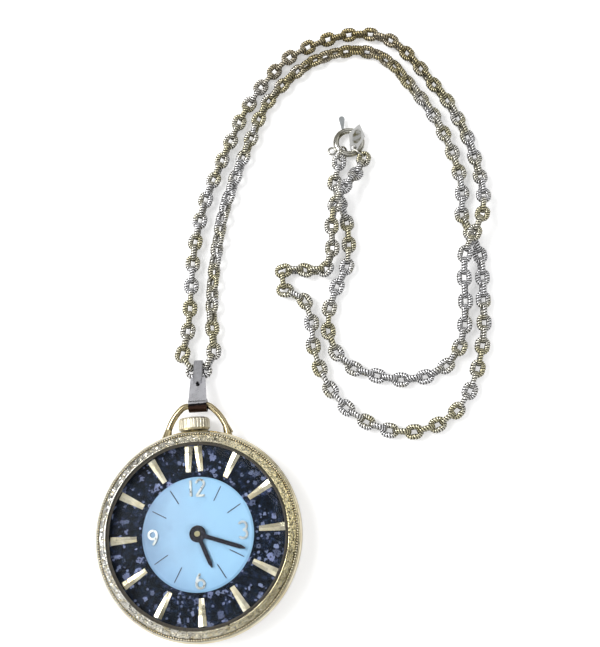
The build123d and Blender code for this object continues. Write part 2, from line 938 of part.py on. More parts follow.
def train_bridge():
    feet = [pillar_place(lead) for lead in pillar_leads["train"]]
    circles = [(foot, pillar_radius) for foot in feet]
    circles += [(centre, wheel_hub + run_gap), (escape_place, pillar_radius), (fourth_place, pillar_radius)]
    bridge = hull(circles, bridge_low, bridge_top)
    bridge -= disc(centre_arbor_radius - pivot_radius + pivot_fit, bridge_low - over, bridge_top + over)
    for hole in jewel_holes("train_bridge"):
        bridge -= hole
    for place in jewel_places()["train_bridge"]:
        bridge -= at(place, disc(pivot_radius + pivot_fit, bridge_low + run_gap, bridge_top))
    return drilled(bridge, feet)


def barrel_bridge():
    feet = [pillar_place(lead) for lead in pillar_leads["barrel"]]
    circles = [(foot, pillar_radius) for foot in feet]
    circles += [(barrel_place, barrel_drum * 3 / 4), (crown_wheel_place, wheel_hub * 2)]
    bridge = hull(circles, bridge_low, bridge_top)
    bridge -= at(barrel_place, disc(arbor_journal + journal_fit, bridge_low - over, bridge_top + over))
    recess = ratchet_module * (crown_wheel_teeth / 2 + 1) + run_gap
    bridge -= at(crown_wheel_place, disc(recess, bridge_low - over, crown_wheel_top + run_gap / 2))
    notch = rod_y(winding_radius + run_gap, winding_pinion_start - pinion_gap, movement_radius)
    bridge -= notch
    bridge += at(crown_wheel_place, disc(arbor_journal, movement_low, bridge_low + bridge_thick))
    bridge += at(click_place, disc(click_pivot_radius, movement_low, bridge_low))
    return drilled(bridge, feet)


def pallet_bridge():
    low = balance_high + run_gap
    circles = [(pallet_place, jewel_radius * 4 / 3), (pallet_pillar, pillar_radius * 2 / 3)]
    bridge = hull(circles, low, low + pallet_bridge_thick)
    for hole in jewel_holes("pallet_bridge"):
        bridge -= hole
    return drilled(bridge, [pallet_pillar])


def balance_cock():
    circles = [(balance_place, cock_width), (cock_pillar, cock_width + run_gap)]
    cock = hull(circles, movement_low, movement_low + cock_thick)
    cock += at(cock_pillar, disc(cock_width, movement_low + cock_thick, bridge_top))
    for hole in jewel_holes("balance_cock"):
        cock -= hole
    pivot_hole = disc(pivot_radius + pivot_fit, movement_low + run_gap, movement_low + cock_thick)
    cock -= at(balance_place, pivot_hole)
    return drilled(cock, [cock_pillar])


def barrel():
    teeth = pinion(barrel_teeth, barrel_module, barrel_phase, barrel_high - barrel_tooth_height, barrel_high)
    drum = disc(barrel_drum, barrel_low, barrel_high) + teeth
    drum -= disc(barrel_drum - barrel_wall, barrel_low + barrel_lid, barrel_high - barrel_lid)
    drum -= disc(arbor_journal + journal_fit, barrel_low - over, barrel_high + over)
    return at(barrel_place, drum)


def mainspring():
    outer = barrel_drum - barrel_wall - spring_clear
    low = barrel_low + barrel_lid + spring_clear / 2
    high = barrel_high - barrel_lid - spring_clear / 2
    coil = spiral(arbor_core + spring_clear, outer, spring_turns, spring_thick, low, high)
    return at(barrel_place, coil)


def barrel_arbor():
    core_low = barrel_low + barrel_lid + spring_clear / 2
    core_high = barrel_high - barrel_lid - spring_clear / 2
    body = disc(arbor_journal, bridge_low - run_gap, plate_low + plate_thick / 2)
    body += disc(arbor_core, core_low, core_high)
    square = extrude(Rectangle(arbor_square, arbor_square), bridge_low - movement_low)
    body += Pos(0, 0, movement_low) * square
    return at(barrel_place, body)


def ratchet_wheel():
    body = pinion(ratchet_teeth, ratchet_module, ratchet_phase, movement_low, ratchet_top)
    hole = arbor_square + journal_fit
    body -= Pos(0, 0, movement_low - over) * extrude(Rectangle(hole, hole), ratchet_thick + 2 * over)
    return at(barrel_place, body)


def crown_wheel():
    body = pinion(crown_wheel_teeth, ratchet_module, crown_wheel_phase, movement_low, crown_wheel_top)
    body -= disc(arbor_journal + journal_fit, movement_low - over, crown_wheel_top + over)
    return at(crown_wheel_place, body)


ratchet_tip = ratchet_module * (ratchet_teeth / 2 + tooth_add_share)
click_place = step(barrel_place, click_lead, ratchet_tip + click_offset)


def click():
    nose = step(click_place, click_lead + click_turn, click_length)
    body = hull([(click_place, click_width * 2 / 3), (nose, click_width / 6)], movement_low, ratchet_top)
    body -= at(barrel_place, disc(ratchet_tip + run_gap / 2, movement_low - over, ratchet_top + over))
    pivot_hole = disc(click_pivot_radius + journal_fit, movement_low - over, ratchet_top + over)
    return body - at(click_place, pivot_hole)


def click_spring():
    reach = click_width * 2 / 3 + click_spring_wire / 2 + journal_fit
    start = step(click_place, click_lead + click_spring_angle, reach)
    end = step(start, click_lead + click_spring_lead, click_spring_length)
    circles = [(start, click_spring_wire / 2), (end, click_spring_wire)]
    return hull(circles, movement_low + run_gap, bridge_low)


def centre_wheel():
    body = wheel(centre_teeth, centre_module, centre_phase, centre_wheel_low, centre_wheel_high)
    leaves_high = centre_wheel_low
    leaves_low = leaves_high - pinion_height - run_gap
    body += pinion(centre_pinion_teeth, barrel_module, centre_pinion_phase, leaves_low, leaves_high)
    body += disc(centre_arbor_radius, shoulder_low, shoulder_high)
    body += disc(centre_arbor_radius - pivot_radius, bridge_low + run_gap, shoulder_low)
    body += disc(arbor_top_radius, shoulder_high, cannon_high - hand_thick - run_gap)
    return body


def third_wheel():
    body = wheel(third_teeth, third_module, third_phase, third_wheel_low, third_wheel_high)
    low = centre_wheel_low - run_gap
    body += pinion(third_pinion_teeth, centre_module, third_pinion_phase, low, low + pinion_height)
    body += arbor(shoulder_low, shoulder_high)
    return at(third_place, body)


def fourth_wheel():
    body = wheel(fourth_teeth, fourth_module, fourth_phase, fourth_wheel_low, fourth_wheel_high)
    low = third_wheel_low - run_gap
    body += pinion(fourth_pinion_teeth, third_module, fourth_pinion_phase, low, low + pinion_height)
    body += arbor(shoulder_low, shoulder_high)
    return at(fourth_place, body)


def escape_wheel():
    points = []
    for k in range(escape_teeth):
        for radius, share in zip((escape_radius - escape_tooth, escape_radius, escape_radius), escape_shares):
            angle = radians(full_turn / escape_teeth * (k + share))
            points.append((radius * cos(angle), radius * sin(angle)))
    face = make_face(Polyline(points, close=True))
    hub = wheel_hub * 3 / 4
    face -= windows(escape_radius - escape_tooth - wheel_rim / 2, hub, 4, wheel_spoke)
    body = Pos(0, 0, third_wheel_low) * extrude(face, wheel_thick)
    low = fourth_wheel_low - run_gap
    body += pinion(escape_pinion_teeth, fourth_module, escape_pinion_phase, low, low + pinion_height)
    body += arbor(shoulder_low, shoulder_high)
    return at(escape_place, body)


def pallet_fork():
    low = third_wheel_low
    high = low + pallet_thick
    tail_end = impulse_circle + fork_gap + impulse_radius + stone_clear / 2
    tail = escape_balance_gap * (1 - pallet_share) - tail_end
    stone = escape_radius + stone_clear
    lever = Pos(tail / 2, 0) * Rectangle(tail, pallet_arm)
    lever += Pos(tail, 0) * Rectangle(2 * fork_gap, fork_gap + 2 * fork_prong)
    lever -= Pos(tail + fork_gap / 2 + impulse_radius, 0) * Rectangle(fork_gap + 2 * impulse_radius, fork_gap)
    lever += Circle(jewel_radius)
    reach = escape_balance_gap * pallet_share
    for side in (1, -1):
        tip = (-reach + stone * cos(radians(stone_lead)), side * stone * sin(radians(stone_lead)))
        stone_face = Pos(tip[0], tip[1]) * Circle(stone_width / 2)
        lever += make_hull(Circle(pallet_arm / 2).edges() + stone_face.edges())
    lever -= Pos(-reach, 0) * Circle(escape_radius + stone_clear / 2)
    body = Pos(0, 0, low) * extrude(lever, high - low)
    bridge_face = balance_high + run_gap + pallet_bridge_thick
    body += disc(pallet_arbor, bridge_face + run_gap / 2, shoulder_high)
    body += disc(pivot_radius, bridge_face - pallet_bridge_thick + run_gap / 2, bridge_face + run_gap / 2)
    body += disc(pivot_radius, shoulder_high, shoulder_high + pivot_length)
    return at(pallet_place, Rot(0, 0, escape_to_balance) * body)


def balance_wheel():
    face = Circle(balance_radius) - Circle(balance_radius - balance_rim)
    for turn in (0, 90):
        face += Rot(0, 0, turn) * Rectangle(2 * balance_radius - balance_rim, balance_arm)
    face += Circle(wheel_hub)
    body = Pos(0, 0, balance_low) * extrude(face, balance_thick)
    body += disc(roller_radius, balance_high, balance_high + roller_thick)
    lead = escape_to_balance + half_turn
    pin = step(centre, lead, impulse_circle)
    body += at(pin, disc(impulse_radius, balance_high, third_wheel_low + pallet_thick))
    staff_low = movement_low + cock_thick + run_gap
    body += arbor(staff_low, shoulder_high)
    body += disc(hairspring_inner - run_gap, hairspring_low, hairspring_low + hairspring_height)
    return at(balance_place, body)


hairspring_low = balance_low - run_gap - hairspring_height


def hairspring():
    high = hairspring_low + hairspring_height
    low = hairspring_low
    coil = spiral(hairspring_inner, hairspring_outer, hairspring_turns, hairspring_thick, low, high)
    return at(balance_place, coil)


def winding_stem():
    body = rod_y(stem_pivot, square_start - stem_pivot_length, square_start)
    square = extrude(Rectangle(stem_square, stem_square), winding_pinion_start - square_start)
    body += Pos(0, square_start, stem_z) * Rot(-90, 0, 0) * square
    groove_low = setting_groove_y - setting_groove / 2
    body += rod_y(stem_radius, winding_pinion_start, groove_low)
    body += rod_y(setting_neck, groove_low, groove_low + setting_groove)
    body += rod_y(stem_radius, groove_low + setting_groove, crown_start + crown_length - crown_edge * 2)
    return body


def winding_pinion():
    face = gear_face(winding_teeth, winding_radius / (winding_teeth / 2 + tooth_add_share), 90)
    face -= Circle(stem_radius + journal_fit)
    return Pos(0, winding_pinion_start, stem_z) * Rot(-90, 0, 0) * extrude(face, winding_pinion_length)


def sliding_pinion():
    body = Rot(-90, 0, 0) * disc(sliding_pinion_radius, 0, sliding_pinion_length)
    middle = sliding_pinion_length / 2
    half = sliding_groove / 2
    groove = collar(sliding_pinion_radius + over, sliding_neck, middle - half, middle + half)
    body -= Rot(-90, 0, 0) * groove
    hole = stem_square + 2 * journal_fit
    square = extrude(Rectangle(hole, hole), sliding_pinion_length + 2 * over)
    body -= Pos(0, -over, 0) * Rot(-90, 0, 0) * square
    return Pos(0, sliding_pinion_start, stem_z) * body


lever_low = plate_top + run_gap / 2
lever_high = lever_low + lever_thick


def keyless_lever(pivot, tip, pin_length):
    """Flat lever under the dial whose pin drops into a groove on the stem."""
    body = hull([(pivot, lever_width * 2 / 3), (tip, lever_width / 3)], lever_low, lever_high)
    body -= at(pivot, disc(click_pivot_radius + journal_fit, lever_low - over, lever_high + over))
    return body + at(tip, disc(setting_pin, lever_low - pin_length, lever_low))


def setting_lever():
    length = lever_low - stem_z - (stem_radius + setting_neck) / 2
    return keyless_lever(setting_pivot, (0, setting_groove_y), length)


def yoke():
    length = lever_low - stem_z - (sliding_pinion_radius + sliding_neck) / 2
    return keyless_lever(yoke_pivot, (0, sliding_groove_y), length)


def crown():
    end = crown_start + crown_length
    body = rod_y(crown_radius, crown_start, end)
    body = chamfer(body.edges().filter_by(GeomType.CIRCLE), crown_edge)
    for k in range(crown_flutes):
        turn = Pos(0, crown_start - over, stem_z) * Rot(-90, 0, 0) * Rot(0, 0, full_turn * k / crown_flutes)
        flute = disc(flute_radius, 0, crown_length + 2 * over)
        body -= turn * Pos(crown_radius + flute_radius / 3, 0, 0) * flute
    bore = crown_tube_radius + crown_gasket_width
    body -= rod_y(bore, crown_start - over, crown_start + crown_bore_depth)
    return body - rod_y(stem_radius, crown_start - over, end - crown_edge * 2)


def crown_gasket():
    start = crown_start + crown_bore_depth - crown_gasket_length
    bore = crown_tube_radius + crown_gasket_width
    return ring_y(bore - gasket_fit, crown_tube_radius + gasket_fit, start, start + crown_gasket_length)


def crown_tube():
    start = band_inner + crown_tube_recess
    return ring_y(crown_tube_radius, crown_tube_bore, start, case_radius + crown_tube_out)


def movement_ring():
    body = collar(dial_ring_radius, movement_radius + ring_fit, snap_top, dial_low)
    body += collar(snap_radius - snap_wall - ring_fit, movement_radius + ring_fit, ring_low, snap_top)
    body += collar(movement_radius + ring_fit, movement_radius - plate_wall, plate_top, dial_low)
    body -= rod_y(stem_radius + ring_fit, movement_radius - plate_wall, dial_ring_radius + over)
    for lead in clamp_leads:
        body -= at(clamp_screw_place(lead), disc(screw_radius, ring_low - over, ring_low + screw_depth))
    return body


def clamp_screw_place(lead):
    return step(centre, lead, movement_radius + 2 * screw_head)


def case_clamps():
    solids = []
    for lead in clamp_leads:
        inner = step(centre, lead, movement_radius - plate_wall / 2)
        outer = clamp_screw_place(lead)
        plate = hull([(inner, plate_wall / 2), (outer, screw_head)], ring_low - clamp_thick, ring_low)
        solids.append(plate - at(outer, disc(screw_radius, ring_low - over, ring_low + over)))
    return solids


def bow():
    points = []
    for side in (1, -1):
        foot, along = bow_leg(side)
        shoulder = Vector(bow_x + side * bow_shoulder_x, bow_shoulder_y, bow_z)
        leg = [foot, shoulder, Vector(bow_x + side * bow_top_x, bow_top_y, bow_z)]
        points += leg if side > 0 else leg[::-1]
    bends = (bow_shoulder_radius, bow_bend_radius, bow_bend_radius, bow_shoulder_radius)
    path = FilletPolyline(*points, radius=bends)
    foot, along = bow_leg(1)
    body = sweep(Plane(origin=foot, z_dir=along) * Circle(bow_wire_radius), path=path)
    taper = [(0, 0), (bow_flare_radius, 0), (bow_wire_radius, bow_flare_length), (0, bow_flare_length)]
    for side in (1, -1):
        foot, along = bow_leg(side)
        flare = Plane(origin=foot + along * bow_sink_depth, z_dir=along).location * turned(taper)
        body += flare - disc(case_radius + bow_fit, 0, dial_top + over)
    return body


# The bail's own frame: u runs from the bow's top wire to the chain, w stands up from the bail's face
bail_frame = Plane(
    origin=(bail_x, bow_top_y, bow_z),
    x_dir=Vector(eye_x - bail_x, eye_y - bow_top_y, -bail_reach * sin(radians(bail_fall_angle))),
    z_dir=(cos(radians(bail_yaw_angle)), -sin(radians(bail_yaw_angle)), 0),
)


def bail_part(face, width):
    """Piece of the bail from an outline in (u, w), centred on the bail."""
    return bail_frame.location * Pos(0, 0, -width / 2) * extrude(face, width)


def bail():
    loop = Circle(bail_loop_radius + bail_metal) - Circle(bail_loop_radius)
    walls = 2 * bail_metal
    eye_outer = RectangleRounded(bail_eye_length + walls, bail_eye_height + walls, bail_corner)
    eye_inner = RectangleRounded(bail_eye_length, bail_eye_height, bail_corner / 2)
    face_top = bail_eye_height / 2 + bail_metal
    plate_start = sqrt((bail_loop_radius + bail_metal) ** 2 - face_top**2)
    plate_end = bail_reach - bail_eye_length / 2 - bail_metal / 2
    middle = (plate_start + plate_end) / 2
    strip = Pos(middle, face_top - bail_metal / 2) * Rectangle(plate_end - plate_start, bail_metal)
    outline = Polygon(
        (0, -bail_width / 2),
        (plate_end + over, -bail_taper_width / 2),
        (plate_end + over, bail_taper_width / 2),
        (0, bail_width / 2),
        align=None,
    )
    down = Plane(origin=bail_frame.origin, x_dir=bail_frame.x_dir, z_dir=bail_frame.y_dir)
    tip = plate_end - bail_tip_length
    far = bail_reach + bail_eye_length / 2
    side = bail_tongue_width / 2 - bail_tip_radius
    circles = [((tip, 0), bail_tip_radius)]
    for turn in (1, -1):
        circles.append(((far - bail_tip_radius, side * turn), bail_tip_radius))
        circles.append(((plate_end, side * turn), bail_tip_radius))
    body = bail_part(loop, bail_width)
    body += bail_part(strip, bail_width) & (down.location * extrude(outline, 2 * bail_face))
    body += bail_part(Pos(bail_reach, 0) * (eye_outer - eye_inner), bail_tongue_width)
    body += down.location * hull(circles, face_top, face_top + bail_metal)
    hole = at((tip, 0), disc(bail_hole_radius, face_top - bail_metal / 2, face_top + bail_metal + over))
    return body - down.location * hole


def oval_link(length):
    """Chain link: an oval band that lies in XY, long along X."""
    band = SlotOverall(length, link_width) - SlotOverall(length - 2 * link_metal, link_width - 2 * link_metal)
    return Pos(0, 0, -link_height / 2) * extrude(band, link_height)


# Chain routes, from the clasp round to the bail, from the bail to the fold, and from the fold to the clasp.
# Each point is x, y from the bail's eye and how far the chain is raised there, all in link pitches.
clasp_to_bail_shares = [
    (13.398, 17.093, 0), (13.056, 16.11, 0), (12.928, 15.213, 0), (13.142, 14.273, 0),
    (13.567, 13.247, 0), (13.697, 12.136, 0), (13.722, 10.982, 0), (13.654, 9.786, 0),
    (13.486, 8.589, 0), (13.056, 7.563, 0), (12.459, 6.623, 0), (11.946, 5.64, 0), (11.518, 4.657, 0),
    (11.219, 3.674, 0), (11.137, 2.649, 0), (11.262, 1.58, 0), (11.604, 0.598, 0), (12.116, -0.214, 0),
    (12.8, -0.855, 0), (13.74, -1.326, 0), (14.723, -1.71, 0), (15.706, -2.052, 0), (16.689, -2.266, 0),
    (17.672, -2.308, 0), (18.74, -2.223, 0), (19.766, -1.924, 0), (20.663, -1.454, 0),
    (21.475, -0.727, 0), (22.074, 0.213, 0), (22.501, 1.281, 0), (22.757, 2.435, 0.043),
    (22.928, 3.632, 0.192), (23.014, 4.786, 0.406), (23.056, 5.939, 0.662), (23.142, 7.05, 0.94),
    (23.441, 8.119, 1.197), (24.039, 9.102, 1.346), (24.638, 10.127, 1.346), (25.236, 11.153, 1.197),
    (25.621, 12.307, 0.897), (25.791, 13.461, 0.556), (25.834, 14.657, 0.299), (25.791, 15.854, 0.085),
    (25.663, 17.05, 0), (25.492, 18.204, 0), (25.236, 19.315, 0), (24.894, 20.384, 0),
    (24.552, 21.495, 0), (24.125, 22.606, 0), (23.612, 23.632, 0), (23.014, 24.615, 0),
    (22.415, 25.64, 0), (21.86, 26.666, 0), (21.219, 27.692, 0), (20.535, 28.674, 0),
    (19.723, 29.529, 0), (18.74, 30.17, 0), (17.629, 30.512, 0), (16.39, 30.64, 0), (15.236, 30.598, 0),
    (14.082, 30.427, 0), (12.971, 30.127, 0), (11.903, 29.743, 0), (10.877, 29.273, 0),
    (9.851, 28.717, 0), (8.997, 27.948, 0), (8.227, 27.179, 0), (7.458, 26.324, 0), (6.732, 25.469, 0),
    (6.133, 24.572, 0), (5.45, 23.674, 0), (4.937, 22.649, 0), (4.424, 21.58, 0), (3.868, 20.555, 0),
    (3.356, 19.529, 0), (2.885, 18.418, 0), (2.373, 17.435, 0), (1.86, 16.409, 0), (1.432, 15.341, 0),
    (1.048, 14.23, 0), (0.749, 13.119, 0), (0.45, 12.008, 0), (0.193, 10.897, 0), (0.022, 9.743, 0),
    (-0.106, 8.589, 0), (-0.234, 7.478, 0), (-0.362, 6.367, 0), (-0.491, 5.256, 0), (-0.619, 4.187, 0),
    (-0.832, 3.162, 0),
]
bail_to_fold_shares = [
    (1.39, 2.521, 0), (1.347, 3.503, 0), (1.347, 4.529, 0), (1.432, 5.598, 0), (1.518, 6.666, 0),
    (1.646, 7.734, 0), (1.817, 8.845, 0), (2.031, 9.914, 0), (2.244, 10.982, 0), (2.458, 12.093, 0),
    (2.715, 13.162, 0), (3.014, 14.23, 0), (3.398, 15.213, 0), (3.783, 16.239, 0), (4.21, 17.264, 0),
    (4.638, 18.247, 0), (5.108, 19.23, 0), (5.578, 20.256, 0), (6.048, 21.239, 0), (6.518, 22.307, 0),
    (6.988, 23.29, 0), (7.544, 24.273, 0), (8.27, 25.042, 0), (8.954, 25.811, 0), (9.68, 26.495, 0),
    (10.492, 27.136, 0), (11.262, 27.82, 0), (12.244, 28.247, 0), (13.27, 28.589, 0),
    (14.338, 28.845, 0), (15.45, 28.974, 0), (16.561, 28.931, 0), (17.586, 28.632, 0),
    (18.484, 28.119, 0), (19.296, 27.35, 0), (19.937, 26.409, 0), (20.492, 25.427, 0),
    (21.091, 24.444, 0), (21.646, 23.418, 0), (22.202, 22.392, 0), (22.672, 21.324, 0),
    (23.056, 20.256, 0), (23.398, 19.145, 0), (23.697, 18.033, 0), (23.911, 16.88, 0),
    (24.082, 15.726, 0), (24.125, 14.572, 0), (24.039, 13.418, 0), (23.826, 12.307, 0),
    (23.826, 11.196, 0), (24.21, 10.127, 0), (24.638, 9.059, 0), (24.809, 7.948, 0), (24.809, 6.837, 0),
    (24.723, 5.726, 0), (24.595, 4.572, 0), (24.467, 3.375, 0), (24.338, 2.179, 0), (24.168, 1.068, 0),
    (23.868, -0.044, 0), (23.526, -1.112, 0), (23.099, -2.18, 0), (22.586, -3.206, 0),
    (21.988, -4.232, 0), (21.262, -5.044, 0), (20.364, -5.727, 0), (19.381, -6.24, 0),
    (18.313, -6.539, 0), (17.202, -6.667, 0), (16.133, -6.539, 0), (15.065, -6.283, 0),
    (14.039, -5.813, 0), (13.056, -5.172, 0), (12.159, -4.36, 0), (11.39, -3.42, 0),
    (10.749, -2.351, 0), (10.279, -1.155, 0), (9.937, 0.042, 0), (9.766, 1.239, 0), (9.766, 2.435, 0),
    (9.809, 3.546, 0), (9.68, 4.572, 0), (9.296, 5.427, 0), (8.569, 6.11, 0),
]
fold_to_clasp_shares = [
    (8.612, 8.247, 0), (9.552, 8.076, 0.043), (10.407, 7.692, 0.128), (11.176, 7.692, 0.256),
    (11.774, 8.333, 0.385), (12.116, 9.273, 0.556), (12.244, 10.298, 0.769), (12.287, 11.367, 0.983),
    (12.458, 12.435, 1.197), (12.843, 13.461, 1.325), (13.441, 14.486, 1.325), (14.125, 15.384, 1.004),
    (14.851, 16.26, 0.577), (15.428, 17.115, 0.214),
]


def link_frames(points, rolls):
    """Places of the links along a route, whose first and last links lie flat."""
    path = Spline(*points)
    flats = round((path.length + edge_span) / (2 * link_pitch))
    span = (path.length - 2 * half_flat * flats) / (flats - 1)
    marks = [0]
    for k in range(2 * flats - 1):
        marks.append(marks[-1] + (span if k % 2 else 2 * half_flat))
    ends = [path.position_at(mark, position_mode=PositionMode.LENGTH) for mark in marks]
    frames = []
    for k in range(2 * flats - 1):
        along = (ends[k + 1] - ends[k]).normalized()
        side = Vector(0, 0, 1).cross(along).normalized()
        up = along.cross(side)
        share = (marks[k] + marks[k + 1]) / 2 / path.length * (len(rolls) - 1)
        first = min(int(share), len(rolls) - 2)
        roll = rolls[first] + (rolls[first + 1] - rolls[first]) * (share - first)
        turn = radians(roll + 90 * (k % 2))
        normal = up * cos(turn) + side * sin(turn)
        frames.append(Plane(origin=(ends[k] + ends[k + 1]) / 2, x_dir=along, z_dir=normal))
    return frames


def edge_frame(start, end):
    """Place of a link on edge that joins two flat ones."""
    along = (end - start).normalized()
    side = Vector(0, 0, 1).cross(along).normalized()
    return Plane(origin=(start + end) / 2, x_dir=along, z_dir=side)


def raised(route):
    """Points of a chain route from its shares of the link pitch."""
    start = Vector(eye_x, eye_y, chain_z)
    return [start + Vector(*shares) * link_pitch for shares in route]


# Where the chain starts and ends: the connector in the bail's eye, the fold, and the rings at the clasp
eye_centre = bail_frame.origin + bail_frame.x_dir * bail_reach
connector_half = (connector_length - link_width) / 2
clasp_centre = Vector(clasp_x, clasp_y, clasp_z)


def polar(distance, lead, height=0):
    """Vector from a distance, a direction in degrees and a height."""
    return Vector(distance * cos(radians(lead)), distance * sin(radians(lead)), height)


def bail_corner_at(side):
    """Ends of the edge link that leaves the connector on one side."""
    start = eye_centre + Vector(side * connector_half, 0, 0)
    lead = bail_lean_angle if side > 0 else 180 - bail_lean_angle
    end = start + polar(edge_span, lead)
    return start, Vector(end.X, end.Y, chain_z)


def ring_link_end(ring_lead, link_lead):
    """Arc centre of the link that a jump ring holds."""
    band = clasp_centre + polar(jump_reach + jump_hold, ring_lead)
    end = band + polar(band_circle, link_lead)
    return Vector(end.X, end.Y, chain_z)


fold_middle = raised([fold_shares])[0]
fold_low = fold_middle - Vector(0, edge_span / 2)
fold_high = fold_middle + Vector(0, edge_span / 2)

# How far the links are rolled about the chain's line, at even steps along each route, in degrees
rolls_to_bail = [0, 6, -5, 4, 0, 10, 22, 12, 0, -5, 0, 8, 24, 30, 12, 0, 0, 8, 0]
rolls_to_fold = [0, 38, 42, 24, 6, 0, 12, 28, 14, 0, -6, 0, 5, 0, -5, 0, 0, 6, 0, 0]
rolls_to_clasp = [0, 10, 6, 0]


def frames_to_bail():
    points = [ring_link_end(*clasp_start_leads)] + raised(clasp_to_bail_shares) + [bail_corner_at(-1)[1]]
    start, end = bail_corner_at(-1)
    return link_frames(points, rolls_to_bail) + [edge_frame(end, start)]


def frames_to_clasp():
    start, end = bail_corner_at(1)
    to_fold = [end] + raised(bail_to_fold_shares) + [fold_low]
    to_ring = [fold_high] + raised(fold_to_clasp_shares) + [ring_link_end(*clasp_end_leads)]
    frames = [edge_frame(start, end)] + link_frames(to_fold, rolls_to_fold)
    return frames + [edge_frame(fold_low, fold_high)] + link_frames(to_ring, rolls_to_clasp)


def links_at(frames):
    """A link at each frame."""
    shape = oval_link(link_length)
    return [frame.location * shape for frame in frames]


def bail_link():
    lean = radians(connector_fall_angle)
    place = Plane(origin=eye_centre, x_dir=(1, 0, 0), z_dir=(0, sin(lean), cos(lean)))
    return place.location * oval_link(connector_length)


# Nodes of the chain: which share of each route they hold, from one end to the other
chain_pieces = [
    ("chain_right_strand", frames_to_bail, 0, 0.45),
    ("chain_outer_arch", frames_to_bail, 0.45, 0.7),
    ("chain_left_strand", frames_to_bail, 0.7, 1),
    ("chain_inner_arch", frames_to_clasp, 0, 0.45),
    ("chain_low_loop", frames_to_clasp, 0.45, 1),
]


def tube(radius, start, turn):
    """Round bar bent along the clasp's ring."""
    bar = revolve(Plane.XZ * Pos(clasp_radius, 0) * Circle(radius), Axis.Z, turn)
    return Rot(0, 0, start) * bar


def at_clasp(solid):
    """Solid moved to the clasp's place."""
    return Pos(clasp_x, clasp_y, clasp_z) * solid


mouth_end_angle = mouth_start_angle + mouth_angle
bolt_turn = lever_angle + bolt_tail_angle - bolt_start_angle


def clasp_ring():
    body = tube(clasp_tube, mouth_end_angle, full_turn - mouth_angle)
    bore_start = mouth_end_angle - mouth_angle / 2
    body -= tube(clasp_bore, bore_start, stop_angle - bore_start)
    body -= tube(clasp_bore, bolt_start_angle - bolt_tail_angle / 2, mouth_angle)
    slot_turn = lever_travel_angle + 2 * slot_margin_angle
    slot_face = Plane.XZ * Pos(clasp_radius + over, 0) * Rectangle(2 * over, clasp_slot)
    body -= Rot(0, 0, lever_angle - slot_margin_angle) * revolve(slot_face, Axis.Z, slot_turn)
    eye = Torus(clasp_eye_radius, clasp_eye_wire)
    reach = clasp_radius + clasp_tube + clasp_eye_radius
    body += Pos(*polar(reach, clasp_eye_lead)) * eye
    return at_clasp(body)


def clasp_bolt():
    body = tube(clasp_bolt_radius, bolt_start_angle, bolt_turn)
    pad_start = clasp_radius + clasp_tube + lever_gap
    stalk = Rot(0, 90, 0) * disc(clasp_slot / 2 - journal_fit, clasp_radius, pad_start + lever_gap)
    tip = lever_length - lever_pad_radius
    circles = [((lever_neck_radius, 0), lever_neck_radius), ((tip, 0), lever_pad_radius)]
    pad = Rot(0, 0, -lever_lean_angle) * hull(circles, -lever_pad_thick / 2, lever_pad_thick / 2)
    return at_clasp(body + Rot(0, 0, lever_angle) * (stalk + Pos(pad_start, 0, 0) * pad))


def clasp_spring():
    start = lever_angle + bolt_tail_angle + spring_gap_angle
    turn = stop_angle - start - spring_gap_angle
    coil = tube(clasp_bore - gasket_fit, start, turn)
    return at_clasp(coil - tube(clasp_spring_bore, start - spring_gap_angle, turn + 2 * spring_gap_angle))


def jump_plane(lead):
    """Plane of a jump ring that is threaded on the clasp's ring and leans along it."""
    out = polar(1, lead)
    along = polar(1, lead + 90)
    normal = along * cos(radians(jump_lean_angle)) + Vector(0, 0, sin(radians(jump_lean_angle)))
    origin = clasp_centre + polar(jump_reach, lead, jump_height)
    return Plane(origin=origin, x_dir=out, z_dir=normal)


def jump_rings():
    ring = Torus(jump_radius, jump_wire)
    return [jump_plane(lead).location * ring for lead in (clasp_start_leads[0], clasp_end_leads[0])]


def clasp_tag():
    plane = jump_plane(clasp_end_leads[0])
    turn = radians(tag_ring_turn)
    hold = plane.origin + plane.x_dir * (jump_radius * cos(turn)) - plane.y_dir * (jump_radius * sin(turn))
    middle = tag_length / 2 - tag_round
    end = tag_length - tag_eye_radius - tag_round
    circles = [(centre, tag_eye_radius), ((end, 0), tag_round)]
    for side in (1, -1):
        circles.append(((middle, side * (tag_width / 2 - tag_round)), tag_round))
    low = clasp_z + clasp_tube + snap_fit
    body = hull(circles, low, low + tag_thick) - disc(tag_hole, low - over, low + tag_thick + over)
    return Pos(hold.X, hold.Y, 0) * Rot(0, 0, tag_lead) * body


def write(name, shape):
    """One STEP file with the node's name."""
    solids = shape if isinstance(shape, list) else [shape]
    parts = []
    for solid in solids:
        parts += solid.solids()
    export_step(parts[0] if len(parts) == 1 else Compound(children=parts), f"parts/{name}.step")


makers = [
    case_back, back_gasket, case_band, bezel, crystal_gasket, crystal, dial_ring, dial_centre,
    hour_markers, dial_numerals, dial_lines, cannon_pinion, minute_wheel, hour_wheel, hour_hand,
    minute_hand, jewels, main_plate, movement_screws, train_bridge, barrel_bridge, pallet_bridge,
    balance_cock, barrel, mainspring, barrel_arbor, ratchet_wheel, crown_wheel, click, click_spring,
    centre_wheel, third_wheel, fourth_wheel, escape_wheel, pallet_fork, balance_wheel, hairspring,
    winding_stem, winding_pinion, sliding_pinion, setting_lever, yoke, crown, crown_gasket, crown_tube,
    movement_ring, case_clamps, bow, bail, bail_link, clasp_ring, clasp_bolt, clasp_spring, jump_rings,
    clasp_tag,
]

os.makedirs("parts", exist_ok=True)
for maker in makers:
    write(maker.__name__, maker())

for name, frames, start, end in chain_pieces:
    places = frames()
    write(name, links_at(places[round(start * len(places)) : round(end * len(places))]))
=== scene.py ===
import math

import bpy
import numpy as np
from mathutils import Matrix, Vector


